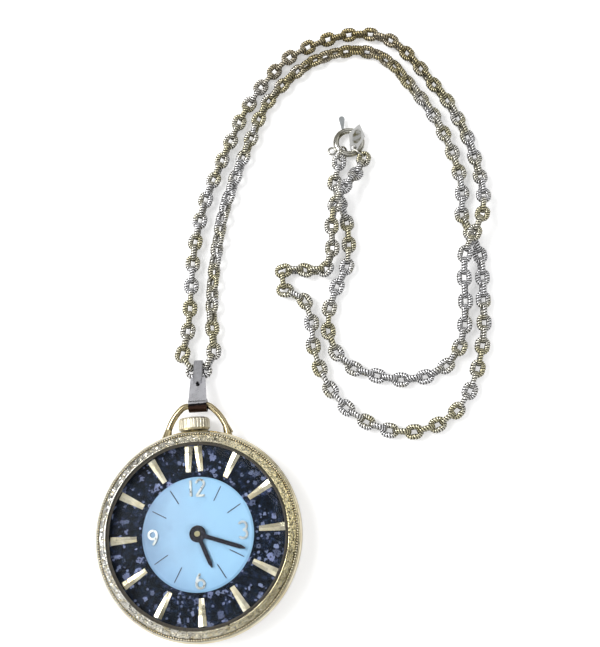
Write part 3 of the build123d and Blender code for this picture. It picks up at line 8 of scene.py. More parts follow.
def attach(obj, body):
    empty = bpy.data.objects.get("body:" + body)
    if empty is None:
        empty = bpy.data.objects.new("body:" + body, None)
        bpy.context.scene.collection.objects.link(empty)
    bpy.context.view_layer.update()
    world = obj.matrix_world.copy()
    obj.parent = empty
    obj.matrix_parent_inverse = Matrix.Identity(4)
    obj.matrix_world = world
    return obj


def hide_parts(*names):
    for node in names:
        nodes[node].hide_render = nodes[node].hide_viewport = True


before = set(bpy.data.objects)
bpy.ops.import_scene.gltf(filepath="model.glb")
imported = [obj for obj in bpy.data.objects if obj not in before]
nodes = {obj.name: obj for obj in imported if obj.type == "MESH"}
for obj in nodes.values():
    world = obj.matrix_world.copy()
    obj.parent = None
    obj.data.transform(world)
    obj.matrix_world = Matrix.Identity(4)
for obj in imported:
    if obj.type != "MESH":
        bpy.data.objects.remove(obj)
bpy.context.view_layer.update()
rng = np.random.default_rng(7)


# Sizes and places, in millimetres and degrees, in the watch's own frame

MM = 0.001

# Bezel: a turned outline whose sloping face, from BARK_OUTER in to BARK_INNER, carries the bark
BEZEL_INNER = 15.9
BEZEL_OUTER = 18.5
BARK_OUTER = (17.9, 6.72)
BARK_INNER = (16.68, 7.68)
BEZEL = [
    (BEZEL_INNER, 5.7), (BEZEL_OUTER, 5.7), (BEZEL_OUTER, 6.3), (18.42, 6.5), (18.225, 6.62), (17.95, 6.62),
    BARK_OUTER, BARK_INNER, (16.55, 7.66), (16.5, 7.55), (16.5, 7.1), (BEZEL_INNER, 7.1),
]
BEZEL_SIDES = 1200
BARK_ROWS = 15
BARK_RADIUS = 17.3
BARK_WIDTH = 1.6
BARK_FACET = 0.46
BARK_CELLS = 6
BARK_TILT = 0.42
BARK_LIFT = 0.012
# No part of the bark is deeper or higher than this
BARK_LOW = -0.15
BARK_HIGH = 0.09
# Above 1, the facets are narrower round the ring than across it
BARK_SQUEEZE = 1.3
# The bark reaches its full height one part in so many of the way in from each edge
BARK_FADE = 4
# Width over which the gold turns from white to yellow, the white being a painted sheen, and the reach of the
# painted shade in two of its quarters
SHEEN_SPAN = 60.0
QUARTER_SHADE_REACH = 18.0

# Beads on the bezel's outer edge
BEAD_COUNT = 250
BEAD_CIRCLE = 18.12
BEAD_FOOT = 6.6
BEAD_RADIUS = 0.19
BEAD_RINGS = 4
BEAD_SIDES = 8

# Dial: painted light makes the pearl lightest about its middle point and painted shade darkens it out to the
# reach, and its tint changes from left to right over the span, with painted shade darker and greyer at the
# left
PEARL_LIT_MIDDLE = (1.6, 1.2)
PEARL_LIT_REACH = 13.0
PEARL_SHADE_SPAN = 23.81

# Movement: the finishing stripes' scale to the metre, and the wheels turned about centres of their own
STRIPE_SCALE = 160
BALANCE_CENTRE = (7.0, -0.9)
BARREL_CENTRE = (-4.55, 2.63)

# Bail: where its strap starts to roll, the line that its tongue lies on, and the hole in the tongue's tip,
# with the reach of the shade painted in and beside it
ROLL_START = 23.72
TONGUE_START = (1.0, 23.8)
TONGUE_YAW = 2.0
TONGUE_WIDTH = 1.7
TIP_HOLE = (1.15, 27.95)
TIP_SHADE = 0.8

# Chain: how far up it is brownest, and the steps and flutes of one link
ARCH_TOP = 104.0
LINK_STEPS = 126
SECTION_STEPS = 12
RIBS = 18
RIB_DEPTH = 0.15
# Thickness of the wire, seen from above, in a link's long sides and round its ends
SIDE_METAL = 1.16
END_METAL = 0.78
# Below 1, the ribs are broader than the grooves between them
RIB_BREADTH = 0.6
# Below 1, the wire's section is fuller than an oval
SECTION_FULLNESS = 0.75
# Share of the grooves' depth on the side that faces the link's hole
HOLE_DEPTH = 0.4
# Painted shade and tarnish of that side, and painted shade of the sides that face neither up nor down
HOLE_SHADE_AND_TARNISH = 0.5
SIDE_SHADE = 0.6
# Corners closer than one part in so many of a millimetre count as one
WELD_STEPS = 500

# End tag of the clasp: its middle, the way that it is long and half its size each way
TAG_MIDDLE = (37.3, 77.9)
TAG_LEAD = 72
TAG_HALF = (3.0, 1.6)

# Floor, lights and camera
FLOOR_REACH = 1200
FLOOR_DROP = 0.02
FLOOR_GREY = 0.82
# Glow that only the camera sees
FLOOR_LIFT = 0.42
LIGHT_TARGET = (20, 45, 0)
CAMERA_PLACE = (22.9, -1.73, 157.19)
CAMERA_RIGHT = Vector((0.9958, -0.0872, -0.0292))
CAMERA_FORWARD = Vector((-0.0064, 0.2516, -0.9678))
CAMERA_LENS = 44.98
CAMERA_SENSOR = 36
CAMERA_CLIP = 5
# Brightness of the room by height, from level with the floor at 0 to overhead at 1
ROOM_BAND = [(0.0, 0.16), (0.3, 0.1), (0.5, 1.1), (0.78, 1.1), (0.88, 0.6), (0.95, 0.42), (1.0, 0.4)]

# Colours
WHITE = (1.0, 1.0, 1.0)
GOLD = (0.66, 0.57, 0.36)
GOLD_DARK = (0.42, 0.33, 0.17)
PALE = (0.94, 0.87, 0.67)
PALE_DARK = (0.66, 0.56, 0.34)
STEEL = (0.62, 0.62, 0.63)
STEEL_DARK = (0.45, 0.45, 0.47)
BRASS = (0.8, 0.68, 0.38)
BRASS_DARK = (0.62, 0.5, 0.25)


# Materials


class Nodes:
    """Short ways to add nodes to a material's or a world's node tree."""

    def __init__(self, tree):
        self.tree = tree

    def node(self, kind):
        return self.tree.nodes.new(kind)

    def link(self, out, into):
        self.tree.links.new(out, into)

    def feed(self, value, into):
        """Link an output to an input, or set the input to a plain value."""
        if isinstance(value, bpy.types.NodeSocket):
            self.link(value, into)
        else:
            into.default_value = value

    def axes(self, vector):
        """Outputs named X, Y and Z of a vector."""
        split = self.node("ShaderNodeSeparateXYZ")
        self.link(vector, split.inputs["Vector"])
        return split.outputs

    def calc(self, operation, first, second=0.0):
        calc = self.node("ShaderNodeMath")
        calc.operation = operation
        self.feed(first, calc.inputs[0])
        self.feed(second, calc.inputs[1])
        return calc.outputs[0]

    def ramp(self, value, stops):
        """Colour from a value by stops of (place, colour), where a single number is a grey."""
        ramp = self.node("ShaderNodeValToRGB")
        elements = ramp.color_ramp.elements
        while len(elements) < len(stops):
            elements.new(0.5)
        for element, (place, colour) in zip(elements, stops):
            element.position = place
            grey = isinstance(colour, (int, float))
            element.color = (colour, colour, colour, 1) if grey else (*colour, 1)
        self.link(value, ramp.inputs["Fac"])
        return ramp.outputs["Color"]

    def rise(self, value, low, high):
        """Grey that climbs from black at low to white at high."""
        return self.ramp(value, [(low, 0), (high, 1)])

    def mix(self, share, first, second, blend="MIX"):
        """Second colour laid over the first by a share from 0 to 1."""
        mix = self.node("ShaderNodeMix")
        mix.data_type = "RGBA"
        mix.blend_type = blend
        # The node repeats its sockets for numbers, vectors and colours, and these are the ones for colours
        self.feed(share, mix.inputs[0])
        for colour, into in ((first, mix.inputs[6]), (second, mix.inputs[7])):
            self.feed((*colour, 1) if isinstance(colour, tuple) else colour, into)
        return mix.outputs[2]

    def shade(self, colour, by):
        """One colour multiplied by another."""
        return self.mix(1.0, colour, by, "MULTIPLY")

    def line_noise(self, value, scale, detail):
        """Noise along a single number."""
        tex = self.node("ShaderNodeTexNoise")
        tex.noise_dimensions = "1D"
        tex.inputs["Scale"].default_value = scale
        tex.inputs["Detail"].default_value = detail
        self.link(value, tex.inputs["W"])
        return tex.outputs["Fac"]


class Look(Nodes):
    """A material with a principled shader, and textures sized in millimetres."""

    def __init__(self, name, colour, metallic, rough, **sockets):
        self.mat = bpy.data.materials.new(name)
        self.mat.use_nodes = True
        super().__init__(self.mat.node_tree)
        self.shader = self.tree.nodes["Principled BSDF"]
        self.set("Base Color", (*colour, 1.0))
        self.set("Metallic", metallic)
        self.set("Roughness", rough)
        for key, value in sockets.items():
            self.set(key.replace("_", " "), value)
        self.coords = self.node("ShaderNodeTexCoord").outputs["Object"]
        self.height = None

    def set(self, socket, value):
        self.shader.inputs[socket].default_value = value

    def place(self, axis, start=0.0):
        """Place along the axis X or Y, measured from start."""
        return self.calc("SUBTRACT", self.calc("DIVIDE", self.axes(self.coords)[axis], MM), start)

    def along(self, start, lead):
        """Place along a level line through start, whose lead is its angle from X."""
        way = math.radians(lead)
        x = self.calc("MULTIPLY", self.place("X", start[0]), math.cos(way))
        y = self.calc("MULTIPLY", self.place("Y", start[1]), math.sin(way))
        return self.calc("ADD", x, y)

    def diagonal(self, x, y):
        """Diagonal of a rectangle with sides x and y."""
        squares = [self.calc("MULTIPLY", side, side) for side in (x, y)]
        return self.calc("SQRT", self.calc("ADD", *squares))

    def radius(self, centre=(0.0, 0.0)):
        """Distance from a vertical axis, the watch's own unless a centre is given."""
        return self.diagonal(self.place("X", centre[0]), self.place("Y", centre[1]))

    def share(self, value, start, span):
        """How far a value has come from start, with 1 at the end of the span."""
        return self.calc("DIVIDE", self.calc("SUBTRACT", value, start), span)

    def noise(self, size, detail, stretch=None, rough=0.5):
        """Noise with features of about size, squeezed along X, Y and Z by the numbers in stretch."""
        tex = self.node("ShaderNodeTexNoise")
        tex.inputs["Scale"].default_value = 1 / (size * MM)
        tex.inputs["Detail"].default_value = detail
        tex.inputs["Roughness"].default_value = rough
        coords = self.coords
        if stretch:
            mapping = self.node("ShaderNodeMapping")
            mapping.inputs["Scale"].default_value = stretch
            self.link(coords, mapping.inputs["Vector"])
            coords = mapping.outputs["Vector"]
        self.link(coords, tex.inputs["Vector"])
        return tex.outputs["Fac"]

    def cells(self, size):
        """Outputs of a pattern of cells of about this size."""
        tex = self.node("ShaderNodeTexVoronoi")
        tex.inputs["Scale"].default_value = 1 / (size * MM)
        self.link(self.coords, tex.inputs["Vector"])
        return tex.outputs

    def colour(self, socket):
        self.link(socket, self.shader.inputs["Base Color"])

    def vary_rough(self, value, low, high, end=0.7):
        """Roughness that goes from low to high as a value climbs from 0.3 to end."""
        self.link(self.ramp(value, [(0.3, low), (end, high)]), self.shader.inputs["Roughness"])

    def bump(self, value, depth):
        """Bump on top of the bumps added before."""
        bump = self.node("ShaderNodeBump")
        bump.inputs["Strength"].default_value = 1.0
        bump.inputs["Distance"].default_value = depth * MM
        self.link(value, bump.inputs["Height"])
        if self.height:
            self.link(self.height, bump.inputs["Normal"])
        self.height = bump.outputs["Normal"]
        self.link(self.height, self.shader.inputs["Normal"])


def polished(name, colour, dark, rough=0.16, grain=0.35, depth=0.003):
    """Metal with a soft change of tone, an uneven polish and a fine grain."""
    look = Look(name, colour, 1.0, rough)
    look.colour(look.mix(look.rise(look.noise(3.0, detail=4), 0.35, 0.75), colour, dark))
    look.vary_rough(look.noise(0.8, detail=5), rough * 0.75, rough * 1.6)
    look.bump(look.noise(grain, detail=6), depth)
    return look.mat


def turned_metal(name, colour, dark, rough, centre=(0.0, 0.0)):
    """Metal with the fine rings that a lathe leaves about one centre."""
    look = Look(name, colour, 1.0, rough)
    rings = look.line_noise(look.radius(centre), scale=14, detail=6)
    look.colour(look.mix(look.rise(rings, 0.35, 0.7), colour, dark))
    look.vary_rough(look.noise(1.5, detail=4), rough * 0.8, rough * 1.4)
    look.bump(rings, depth=0.004)
    look.bump(look.noise(0.3, detail=5), depth=0.002)
    return look.mat


def gloss(name, colour, second, rough, **sockets):
    """Paint, plastic, rubber or stone with an uneven skin."""
    look = Look(name, colour, 0.0, rough, **sockets)
    tone = look.noise(0.6, detail=5)
    look.colour(look.mix(look.rise(tone, 0.35, 0.7), colour, second))
    look.vary_rough(tone, rough * 0.8, rough * 1.3)
    look.bump(look.noise(0.2, detail=5), depth=0.003)
    return look.mat


def striped_nickel():
    """Nickel plate with broad finishing stripes and a fine grain."""
    look = Look("striped_nickel", (0.74, 0.72, 0.68), metallic=1.0, rough=0.26)
    wave = look.node("ShaderNodeTexWave")
    wave.inputs["Scale"].default_value = STRIPE_SCALE
    wave.inputs["Distortion"].default_value = 0.4
    look.link(look.coords, wave.inputs["Vector"])
    grain = look.noise(0.1, detail=5, stretch=(1, 12, 1))
    stripe = look.mix(0.5, wave.outputs["Color"], grain)
    look.colour(look.mix(look.rise(stripe, 0.3, 0.8), (0.8, 0.78, 0.73), (0.58, 0.57, 0.54)))
    look.vary_rough(grain, 0.2, 0.34)
    look.bump(stripe, depth=0.006)
    return look.mat


def bark_gold():
    """Pale gold, whiter at the left with a painted sheen, with dark pits, painted shade in two quarters and
    painted shade in the steps beside the bark.
    """
    look = Look("bark_gold", (0.86, 0.79, 0.6), metallic=0.88, rough=0.2)
    x, y = look.place("X"), look.place("Y")
    across = look.share(x, -SHEEN_SPAN / 2, SHEEN_SPAN)
    white, cream, yellow = (0.97, 0.98, 0.98), (0.99, 0.95, 0.82), (0.99, 0.88, 0.52)
    # The white at the left is a painted sheen of light on the gold
    light = look.ramp(across, [(0.1, white), (0.42, cream), (0.78, yellow)])
    tone = look.rise(look.noise(0.9, detail=5), 0.5, 0.7)
    skin = look.mix(tone, light, (0.7, 0.62, 0.4))
    pits = look.rise(look.noise(0.5, detail=4), 0.6, 0.66)
    skin = look.mix(pits, skin, (0.1, 0.085, 0.05))
    # From nine to twelve and from three to six, where x and y differ in sign, painted shade makes it duller
    quarter = look.calc("DIVIDE", look.calc("MULTIPLY", x, y), QUARTER_SHADE_REACH**2)
    quarter_shade = look.ramp(look.calc("SUBTRACT", 0.5, quarter), [(0.5, 1.0), (0.95, 0.62)])
    skin = look.shade(skin, quarter_shade)
    # Painted shade: dark rings in the steps inside and outside the bark
    outward = look.share(look.radius(), BEZEL_INNER, BEZEL_OUTER - BEZEL_INNER)
    step_shade = look.ramp(outward, [(0.2, 0.16), (0.24, 1), (0.74, 1), (0.78, 0.12), (0.9, 0.12), (0.94, 1)])
    look.colour(look.shade(skin, step_shade))
    fine = look.noise(0.14, detail=5)
    look.vary_rough(fine, 0.08, 0.2)
    look.bump(look.cells(0.3)["Distance"], depth=0.02)
    look.bump(fine, depth=0.004)
    return look.mat


def black_stone():
    """Near-black dial ring with blue and lavender flecks, and faint rings and dots like pebbles."""
    look = Look("black_stone", (0.01, 0.012, 0.03), metallic=0.0, rough=0.34, Specular_IOR_Level=0.12)
    mottle = look.noise(0.9, detail=9, rough=0.75)
    black, ink = (0.0, 0.001, 0.002), (0.002, 0.006, 0.014)
    blue, lavender = (0.02, 0.03, 0.07), (0.12, 0.15, 0.28)
    base = look.ramp(mottle, [(0.42, black), (0.55, ink), (0.64, blue), (0.74, lavender)])
    # The warp bends the outlines of the pebbles, which are cells cut off at a distance
    warp = look.calc("MULTIPLY", look.noise(0.4, detail=5), 0.5)
    for size, inner, rarity, tint in (
        (2.4, 0.13, 0.25, (0.17, 0.2, 0.34)),
        (1.6, 0.1, 0.25, (0.2, 0.24, 0.38)),
        (1.0, 0.0, 0.32, (0.15, 0.18, 0.31)),
    ):
        cell = look.cells(size)
        bent = look.calc("SUBTRACT", look.calc("ADD", cell["Distance"], warp), 0.21)
        middle = 0.15 if inner else 1
        ring = look.ramp(bent, [(inner, middle), (inner + 0.03, 1), (0.27, 0.8), (0.31, 0)])
        chance = look.node("ShaderNodeSeparateColor")
        look.link(cell["Color"], chance.inputs["Color"])
        chosen = look.rise(chance.outputs["Red"], rarity, rarity + 0.05)
        faint = look.ramp(chance.outputs["Green"], [(0.0, 0.3), (1.0, 1.0)])
        level = look.calc("MULTIPLY", look.calc("MULTIPLY", ring, chosen), faint)
        base = look.mix(level, base, tint)
    look.colour(base)
    look.vary_rough(mottle, 0.25, 0.45)
    look.bump(mottle, depth=0.008)
    return look.mat


def pearl():
    """Pale blue dial centre with a cloudy sheen, with painted shade towards nine o'clock and at the rim."""
    look = Look("pearl_dial", (0.45, 0.58, 0.85), metallic=0.0, rough=0.4)
    cloud = look.calc("MULTIPLY", look.calc("SUBTRACT", look.noise(4.0, detail=3), 0.5), 0.35)
    across = look.calc("ADD", look.share(look.place("X"), -PEARL_SHADE_SPAN / 2, PEARL_SHADE_SPAN), cloud)
    # Painted shade: darker and greyer towards nine o'clock
    left, middle, right = (0.14, 0.22, 0.31), (0.2, 0.33, 0.46), (0.205, 0.37, 0.52)
    tone = look.ramp(across, [(0.04, left), (0.3, middle), (0.62, right)])
    # Painted light about a middle point, with painted shade towards the rim
    outward = look.share(look.radius(PEARL_LIT_MIDDLE), 0, PEARL_LIT_REACH)
    look.colour(look.shade(tone, look.ramp(outward, [(0.6, WHITE), (0.95, (0.74, 0.78, 0.84))])))
    fine = look.noise(0.25, detail=6)
    look.vary_rough(fine, 0.35, 0.5)
    look.bump(fine, depth=0.002)
    return look.mat


def glass():
    """Clear crystal with faint smears."""
    clear = {"IOR": 1.18, "Transmission_Weight": 1.0}
    look = Look("crystal_glass", (0.97, 0.985, 1.0), metallic=0.0, rough=0.0, **clear)
    look.vary_rough(look.noise(6.0, detail=5), 0.004, 0.012, end=0.8)
    return look.mat


def chain_metal():
    """Worn silver with olive gold patches, near black with painted shade in the grooves and on the wire's
    sides, with painted shade and tarnish on the side facing the hole, and browner at the top of the arch.
    """
    look = Look("chain_silver", (0.78, 0.76, 0.69), metallic=0.7, rough=0.2)
    patch = look.rise(look.noise(7.0, detail=3), 0.42, 0.6)
    skin = look.mix(patch, (0.95, 0.95, 0.97), (0.74, 0.69, 0.46))
    high = look.ramp(look.share(look.place("Y"), 0, ARCH_TOP), [(0.8, WHITE), (0.95, (0.66, 0.58, 0.42))])
    painted_shade_and_tarnish = look.node("ShaderNodeAttribute")
    painted_shade_and_tarnish.attribute_name = "painted_shade_and_tarnish"
    # Painted shade: near black where the attribute marks grooves, the wire's sides and the side facing the
    # hole
    deep = look.ramp(painted_shade_and_tarnish.outputs["Fac"], [(0.25, 0.0), (0.6, 0.98)])
    look.colour(look.mix(deep, look.shade(skin, high), (0.02, 0.017, 0.011)))
    look.vary_rough(look.noise(0.4, detail=5), 0.1, 0.24)
    look.bump(look.noise(0.15, detail=5), depth=0.003)
    return look.mat


def bail_silver():
    """Grey silver strap, painted dark as shade and reflection where it rolls under the bow's wire, with a
    darker tongue edged by a painted shadow line, and painted shade in the hole at its tip.
    """
    look = Look("bail_silver", (0.7, 0.7, 0.73), metallic=1.0, rough=0.24)
    tone = look.rise(look.noise(2.0, detail=4), 0.35, 0.75)
    skin = look.mix(tone, (0.76, 0.76, 0.8), (0.64, 0.64, 0.67))
    wander = look.calc("MULTIPLY", look.noise(0.7, detail=3), 0.3)
    rolled = look.calc("ADD", look.place("Y", ROLL_START), wander)
    # Painted shade and dark reflection, brown and black, where the strap rolls under the bow's wire
    dark_reflection, black, roll_shade = (0.09, 0.05, 0.035), (0.012, 0.01, 0.01), (0.02, 0.016, 0.016)
    skin = look.shade(skin, look.ramp(rolled, [(0.0, dark_reflection), (0.1, black), (0.5, roll_shade), (0.56, WHITE)]))
    # A darker tongue, with a painted shadow line round its edge
    aside = look.calc("ABSOLUTE", look.along(TONGUE_START, -TONGUE_YAW))
    tongue = look.ramp(look.share(aside, 0, TONGUE_WIDTH), [(0.4, 0.74), (0.46, 0.45), (0.52, 1)])
    above = look.rise(look.place("Y", TIP_HOLE[1]), 0.0, 0.3)
    skin = look.mix(above, skin, look.shade(skin, tongue))
    # Painted shade in the hole at the tongue's tip and beneath the tip
    hole = look.ramp(look.share(look.radius(TIP_HOLE), 0, TIP_SHADE), [(0.4, 0.02), (0.55, 1)])
    look.colour(look.shade(skin, hole))
    look.vary_rough(look.noise(0.8, detail=5), 0.24, 0.36)
    look.bump(look.noise(1.2, detail=3), depth=0.002)
    return look.mat


def tag_silver():
    """Plate with a bright rim round a duller, olive middle."""
    look = Look("tag_silver", (0.85, 0.84, 0.8), metallic=1.0, rough=0.2)
    leads = (TAG_LEAD, TAG_LEAD - 90)
    sides = [look.share(look.along(TAG_MIDDLE, lead), 0, half) for lead, half in zip(leads, TAG_HALF)]
    wander = look.calc("MULTIPLY", look.noise(1.0, detail=4), 0.3)
    rim = look.rise(look.calc("ADD", look.diagonal(*sides), wander), 0.62, 0.78)
    patch = look.rise(look.noise(1.1, detail=3), 0.42, 0.6)
    middle = look.mix(patch, (0.6, 0.6, 0.58), (0.2, 0.18, 0.1))
    look.colour(look.mix(rim, middle, (0.9, 0.9, 0.88)))
    look.vary_rough(look.noise(0.5, detail=5), 0.14, 0.3)
    look.bump(look.noise(0.5, detail=4), depth=0.004)
    return look.mat


gold = polished("polished_gold", GOLD, GOLD_DARK)
pale = polished("pale_gold", PALE, PALE_DARK, rough=0.14)
steel = polished("steel", STEEL, STEEL_DARK, rough=0.22)
brass = turned_metal("turned_brass", BRASS, BRASS_DARK, rough=0.28)
nickel = striped_nickel()
rubber = gloss("rubber", (0.02, 0.02, 0.021), (0.035, 0.034, 0.033), rough=0.7)
hand_black = gloss("hand_black", (0.004, 0.004, 0.007), (0.012, 0.012, 0.018), rough=0.2, Coat_Weight=0.6)
looks = {
    "case_back": turned_metal("case_back_steel", (0.72, 0.7, 0.66), (0.55, 0.53, 0.49), rough=0.3),
    "case_band": pale,
    "crown": polished("crown_champagne", (0.8, 0.76, 0.62), (0.6, 0.54, 0.4), rough=0.38),
    "crown_tube": gold,
    "bow": gold,
    "clasp_ring": polished("clasp_grey", (0.72, 0.71, 0.66), (0.2, 0.18, 0.1), rough=0.2),
    "clasp_bolt": polished("bolt_grey", (0.62, 0.66, 0.68), (0.36, 0.38, 0.36), rough=0.2),
    "bail": bail_silver(),
    "jump_rings": polished("ring_silver", (0.82, 0.81, 0.77), (0.62, 0.6, 0.54)),
    "clasp_tag": tag_silver(),
    "crystal": glass(),
    "dial_ring": black_stone(),
    "dial_centre": pearl(),
    "dial_numerals": polished("numeral_pearl", (0.56, 0.6, 0.6), (0.3, 0.3, 0.24), rough=0.3),
    "hour_markers": polished("marker_gold", (0.96, 0.9, 0.7), (0.7, 0.6, 0.36), grain=1.0, depth=0.001),
    "dial_lines": gloss("line_ink", (0.008, 0.008, 0.012), (0.02, 0.02, 0.026), rough=0.4),
    "hour_hand": hand_black,
    "minute_hand": hand_black,
    "cannon_pinion": polished("cannon_steel", (0.3, 0.28, 0.17), (0.2, 0.18, 0.1), rough=0.3),
    "back_gasket": rubber,
    "crystal_gasket": gloss("clear_gasket", (0.06, 0.05, 0.035), (0.1, 0.085, 0.06), rough=0.5),
    "crown_gasket": rubber,
    "jewels": gloss("ruby", (0.5, 0.01, 0.06), (0.7, 0.03, 0.12), rough=0.08, Coat_Weight=1.0),
    "movement_ring": gloss("ring_plastic", (0.7, 0.69, 0.66), (0.78, 0.77, 0.74), rough=0.5),
    "hairspring": polished("blued_spring", (0.06, 0.09, 0.34), (0.03, 0.04, 0.2), rough=0.2),
    "balance_wheel": turned_metal("balance_brass", BRASS, BRASS_DARK, rough=0.2, centre=BALANCE_CENTRE),
    "barrel": turned_metal("barrel_brass", BRASS, BRASS_DARK, rough=0.26, centre=BARREL_CENTRE),
}
for name in ("main_plate", "train_bridge", "barrel_bridge", "pallet_bridge", "balance_cock"):
    looks[name] = nickel
for name in ("minute_wheel", "hour_wheel", "centre_wheel", "third_wheel", "fourth_wheel"):
    looks[name] = brass
for name, node in nodes.items():
    node.data.materials.clear()
    node.data.materials.append(looks.get(name, steel))
nodes["crystal"].visible_shadow = False


# Meshes


def make_piece(name, verts, faces, material, body, replaced=()):
    """Smooth mesh that rides on a body."""
    mesh = bpy.data.meshes.new(name)
    mesh.from_pydata((np.asarray(verts) * MM).tolist(), [], faces)
    mesh.validate()
    mesh.polygons.foreach_set("use_smooth", [True] * len(mesh.polygons))
    mesh.materials.append(material)
    piece = bpy.data.objects.new(name, mesh)
    bpy.context.scene.collection.objects.link(piece)
    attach(piece, body)
    if replaced:
        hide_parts(*replaced)
    return piece


def ring_faces(rows, columns, start=0):
    """Quads of a grid that closes on itself both ways."""
    faces = []
    for i in range(rows):
        this, following = start + i * columns, start + (i + 1) % rows * columns
        for j in range(columns):
            beside = (j + 1) % columns
            faces.append((this + j, this + beside, following + beside, following + j))
    return faces


# Bezel


def bark_height(along, across):
    """Height of the bark at each point: every small cell is a facet with a tilt of its own."""
    columns = round(math.tau * BARK_RADIUS / BARK_FACET)
    seeds = rng.random((columns, BARK_CELLS, 2))
    tilts = rng.normal(0, BARK_TILT, (columns, BARK_CELLS, 2))
    lifts = rng.normal(0, BARK_LIFT, (columns, BARK_CELLS))
    u = along * columns
    v = across / BARK_FACET + 1
    nearest = np.full(u.shape, np.inf)
    height = np.zeros(u.shape)
    for du in (-1, 0, 1):
        for dv in (-1, 0, 1):
            i = (np.floor(u).astype(int) + du) % columns
            j = np.clip(np.floor(v).astype(int) + dv, 0, BARK_CELLS - 1)
            x = np.floor(u) + du + seeds[i, j, 0] - u
            y = np.floor(v) + dv + seeds[i, j, 1] - v
            far = (x * BARK_SQUEEZE) ** 2 + y**2
            here = (x * tilts[i, j, 0] + y * tilts[i, j, 1]) * BARK_FACET + lifts[i, j]
            height = np.where(far < nearest, here, height)
            nearest = np.minimum(far, nearest)
    return np.clip(height, BARK_LOW, BARK_HIGH)


def bezel_piece():
    """The bezel turned from its outline, with rows of bark between the two edges of the sloping face."""
    turn = np.arange(BEZEL_SIDES) / BEZEL_SIDES
    shares = np.arange(1, BARK_ROWS) / BARK_ROWS
    heights = bark_height(*np.meshgrid(turn, shares * BARK_WIDTH))
    inward, upward = BARK_INNER[0] - BARK_OUTER[0], BARK_INNER[1] - BARK_OUTER[1]
    slope = math.hypot(inward, upward)
    normal = upward / slope, -inward / slope
    rows = []
    for corner in BEZEL:
        rows.append((*corner, np.zeros(BEZEL_SIDES)))
        if corner == BARK_OUTER:
            for share, height in zip(shares, heights):
                lift = height * min(1.0, BARK_FADE * share, BARK_FADE * (1 - share))
                rows.append((corner[0] + inward * share, corner[1] + upward * share, lift))
    verts = []
    for radius, high, lift in rows:
        radii = radius + lift * normal[0]
        ring = [radii * np.cos(turn * math.tau), radii * np.sin(turn * math.tau), high + lift * normal[1]]
        verts.append(np.stack(ring, 1))
    faces = ring_faces(len(rows), BEZEL_SIDES)
    make_piece("bezel_bark", np.concatenate(verts), faces, bark_gold(), "case", ["bezel"])


def one_bead():
    """Points and faces of half a ball that stands on a flat foot at the origin."""
    points, faces = [], []
    for i in range(BEAD_RINGS):
        rise = math.pi / 2 * i / BEAD_RINGS
        out = BEAD_RADIUS * math.cos(rise)
        for j in range(BEAD_SIDES):
            turn = math.tau * j / BEAD_SIDES
            points.append((out * math.cos(turn), out * math.sin(turn), BEAD_RADIUS * math.sin(rise)))
    points.append((0, 0, BEAD_RADIUS))
    for i in range(BEAD_RINGS - 1):
        for j in range(BEAD_SIDES):
            this, beside = i * BEAD_SIDES + j, i * BEAD_SIDES + (j + 1) % BEAD_SIDES
            faces.append((this, beside, beside + BEAD_SIDES, this + BEAD_SIDES))
    top_ring = (BEAD_RINGS - 1) * BEAD_SIDES
    for j in range(BEAD_SIDES):
        faces.append((top_ring + j, top_ring + (j + 1) % BEAD_SIDES, len(points) - 1))
    faces.append(tuple(reversed(range(BEAD_SIDES))))
    return np.array(points), faces


def bead_piece():
    """The row of small beads on the bezel's edge."""
    points, bead_faces = one_bead()
    verts, faces = [], []
    for k in range(BEAD_COUNT):
        lead = math.tau * k / BEAD_COUNT
        centre = (BEAD_CIRCLE * math.cos(lead), BEAD_CIRCLE * math.sin(lead), BEAD_FOOT)
        verts.append(centre + points)
        faces += [tuple(k * len(points) + corner for corner in face) for face in bead_faces]
    make_piece("bezel_beads", np.concatenate(verts), faces, pale, "case")


bezel_piece()
bead_piece()


# Chain: fluted links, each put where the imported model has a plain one


def loose_parts(mesh):
    """Triangles of each separate solid in a mesh, as the places of their corners."""
    places = np.zeros(len(mesh.vertices) * 3, np.float32)
    mesh.vertices.foreach_get("co", places)
    places = places.reshape(-1, 3).astype(float) / MM
    mesh.calc_loop_triangles()
    triangles = np.zeros(len(mesh.loop_triangles) * 3, np.int32)
    mesh.loop_triangles.foreach_get("vertices", triangles)
    triangles = triangles.reshape(-1, 3)
    keys = np.round(places * WELD_STEPS).astype(np.int64)
    same = np.unique(keys, axis=0, return_inverse=True)[1].ravel()
    label = np.arange(same.max() + 1)
    merged = same[triangles]
    # Each corner takes the lowest label in its triangles, until the labels no longer change
    while True:
        lowest = label[merged].min(1)
        new = label.copy()
        for k in range(3):
            np.minimum.at(new, merged[:, k], lowest)
        new = new[new]
        if (new == label).all():
            break
        label = new
    owner = label[merged[:, 0]]
    return [places[triangles[owner == part]] for part in np.unique(owner)]


def link_place(corners):
    """Middle of a flat oval solid, its long axis, short axis and normal, and its size along each."""
    sides = corners[:, 1] - corners[:, 0], corners[:, 2] - corners[:, 0]
    area = np.linalg.norm(np.cross(*sides), axis=1) / 2
    middle = corners.mean(1)
    centre = (middle * area[:, None]).sum(0) / area.sum()
    spread = middle - centre
    axes = np.linalg.eigh((spread * area[:, None]).T @ spread)[1]
    flat = (corners.reshape(-1, 3) - centre) @ axes
    low, high = flat.min(0), flat.max(0)
    centre = centre + axes @ ((low + high) / 2)
    order = np.argsort(low - high)
    axes = axes[:, order]
    if np.linalg.det(axes) < 0:
        axes[:, 2] *= -1
    return centre, axes, (high - low)[order]


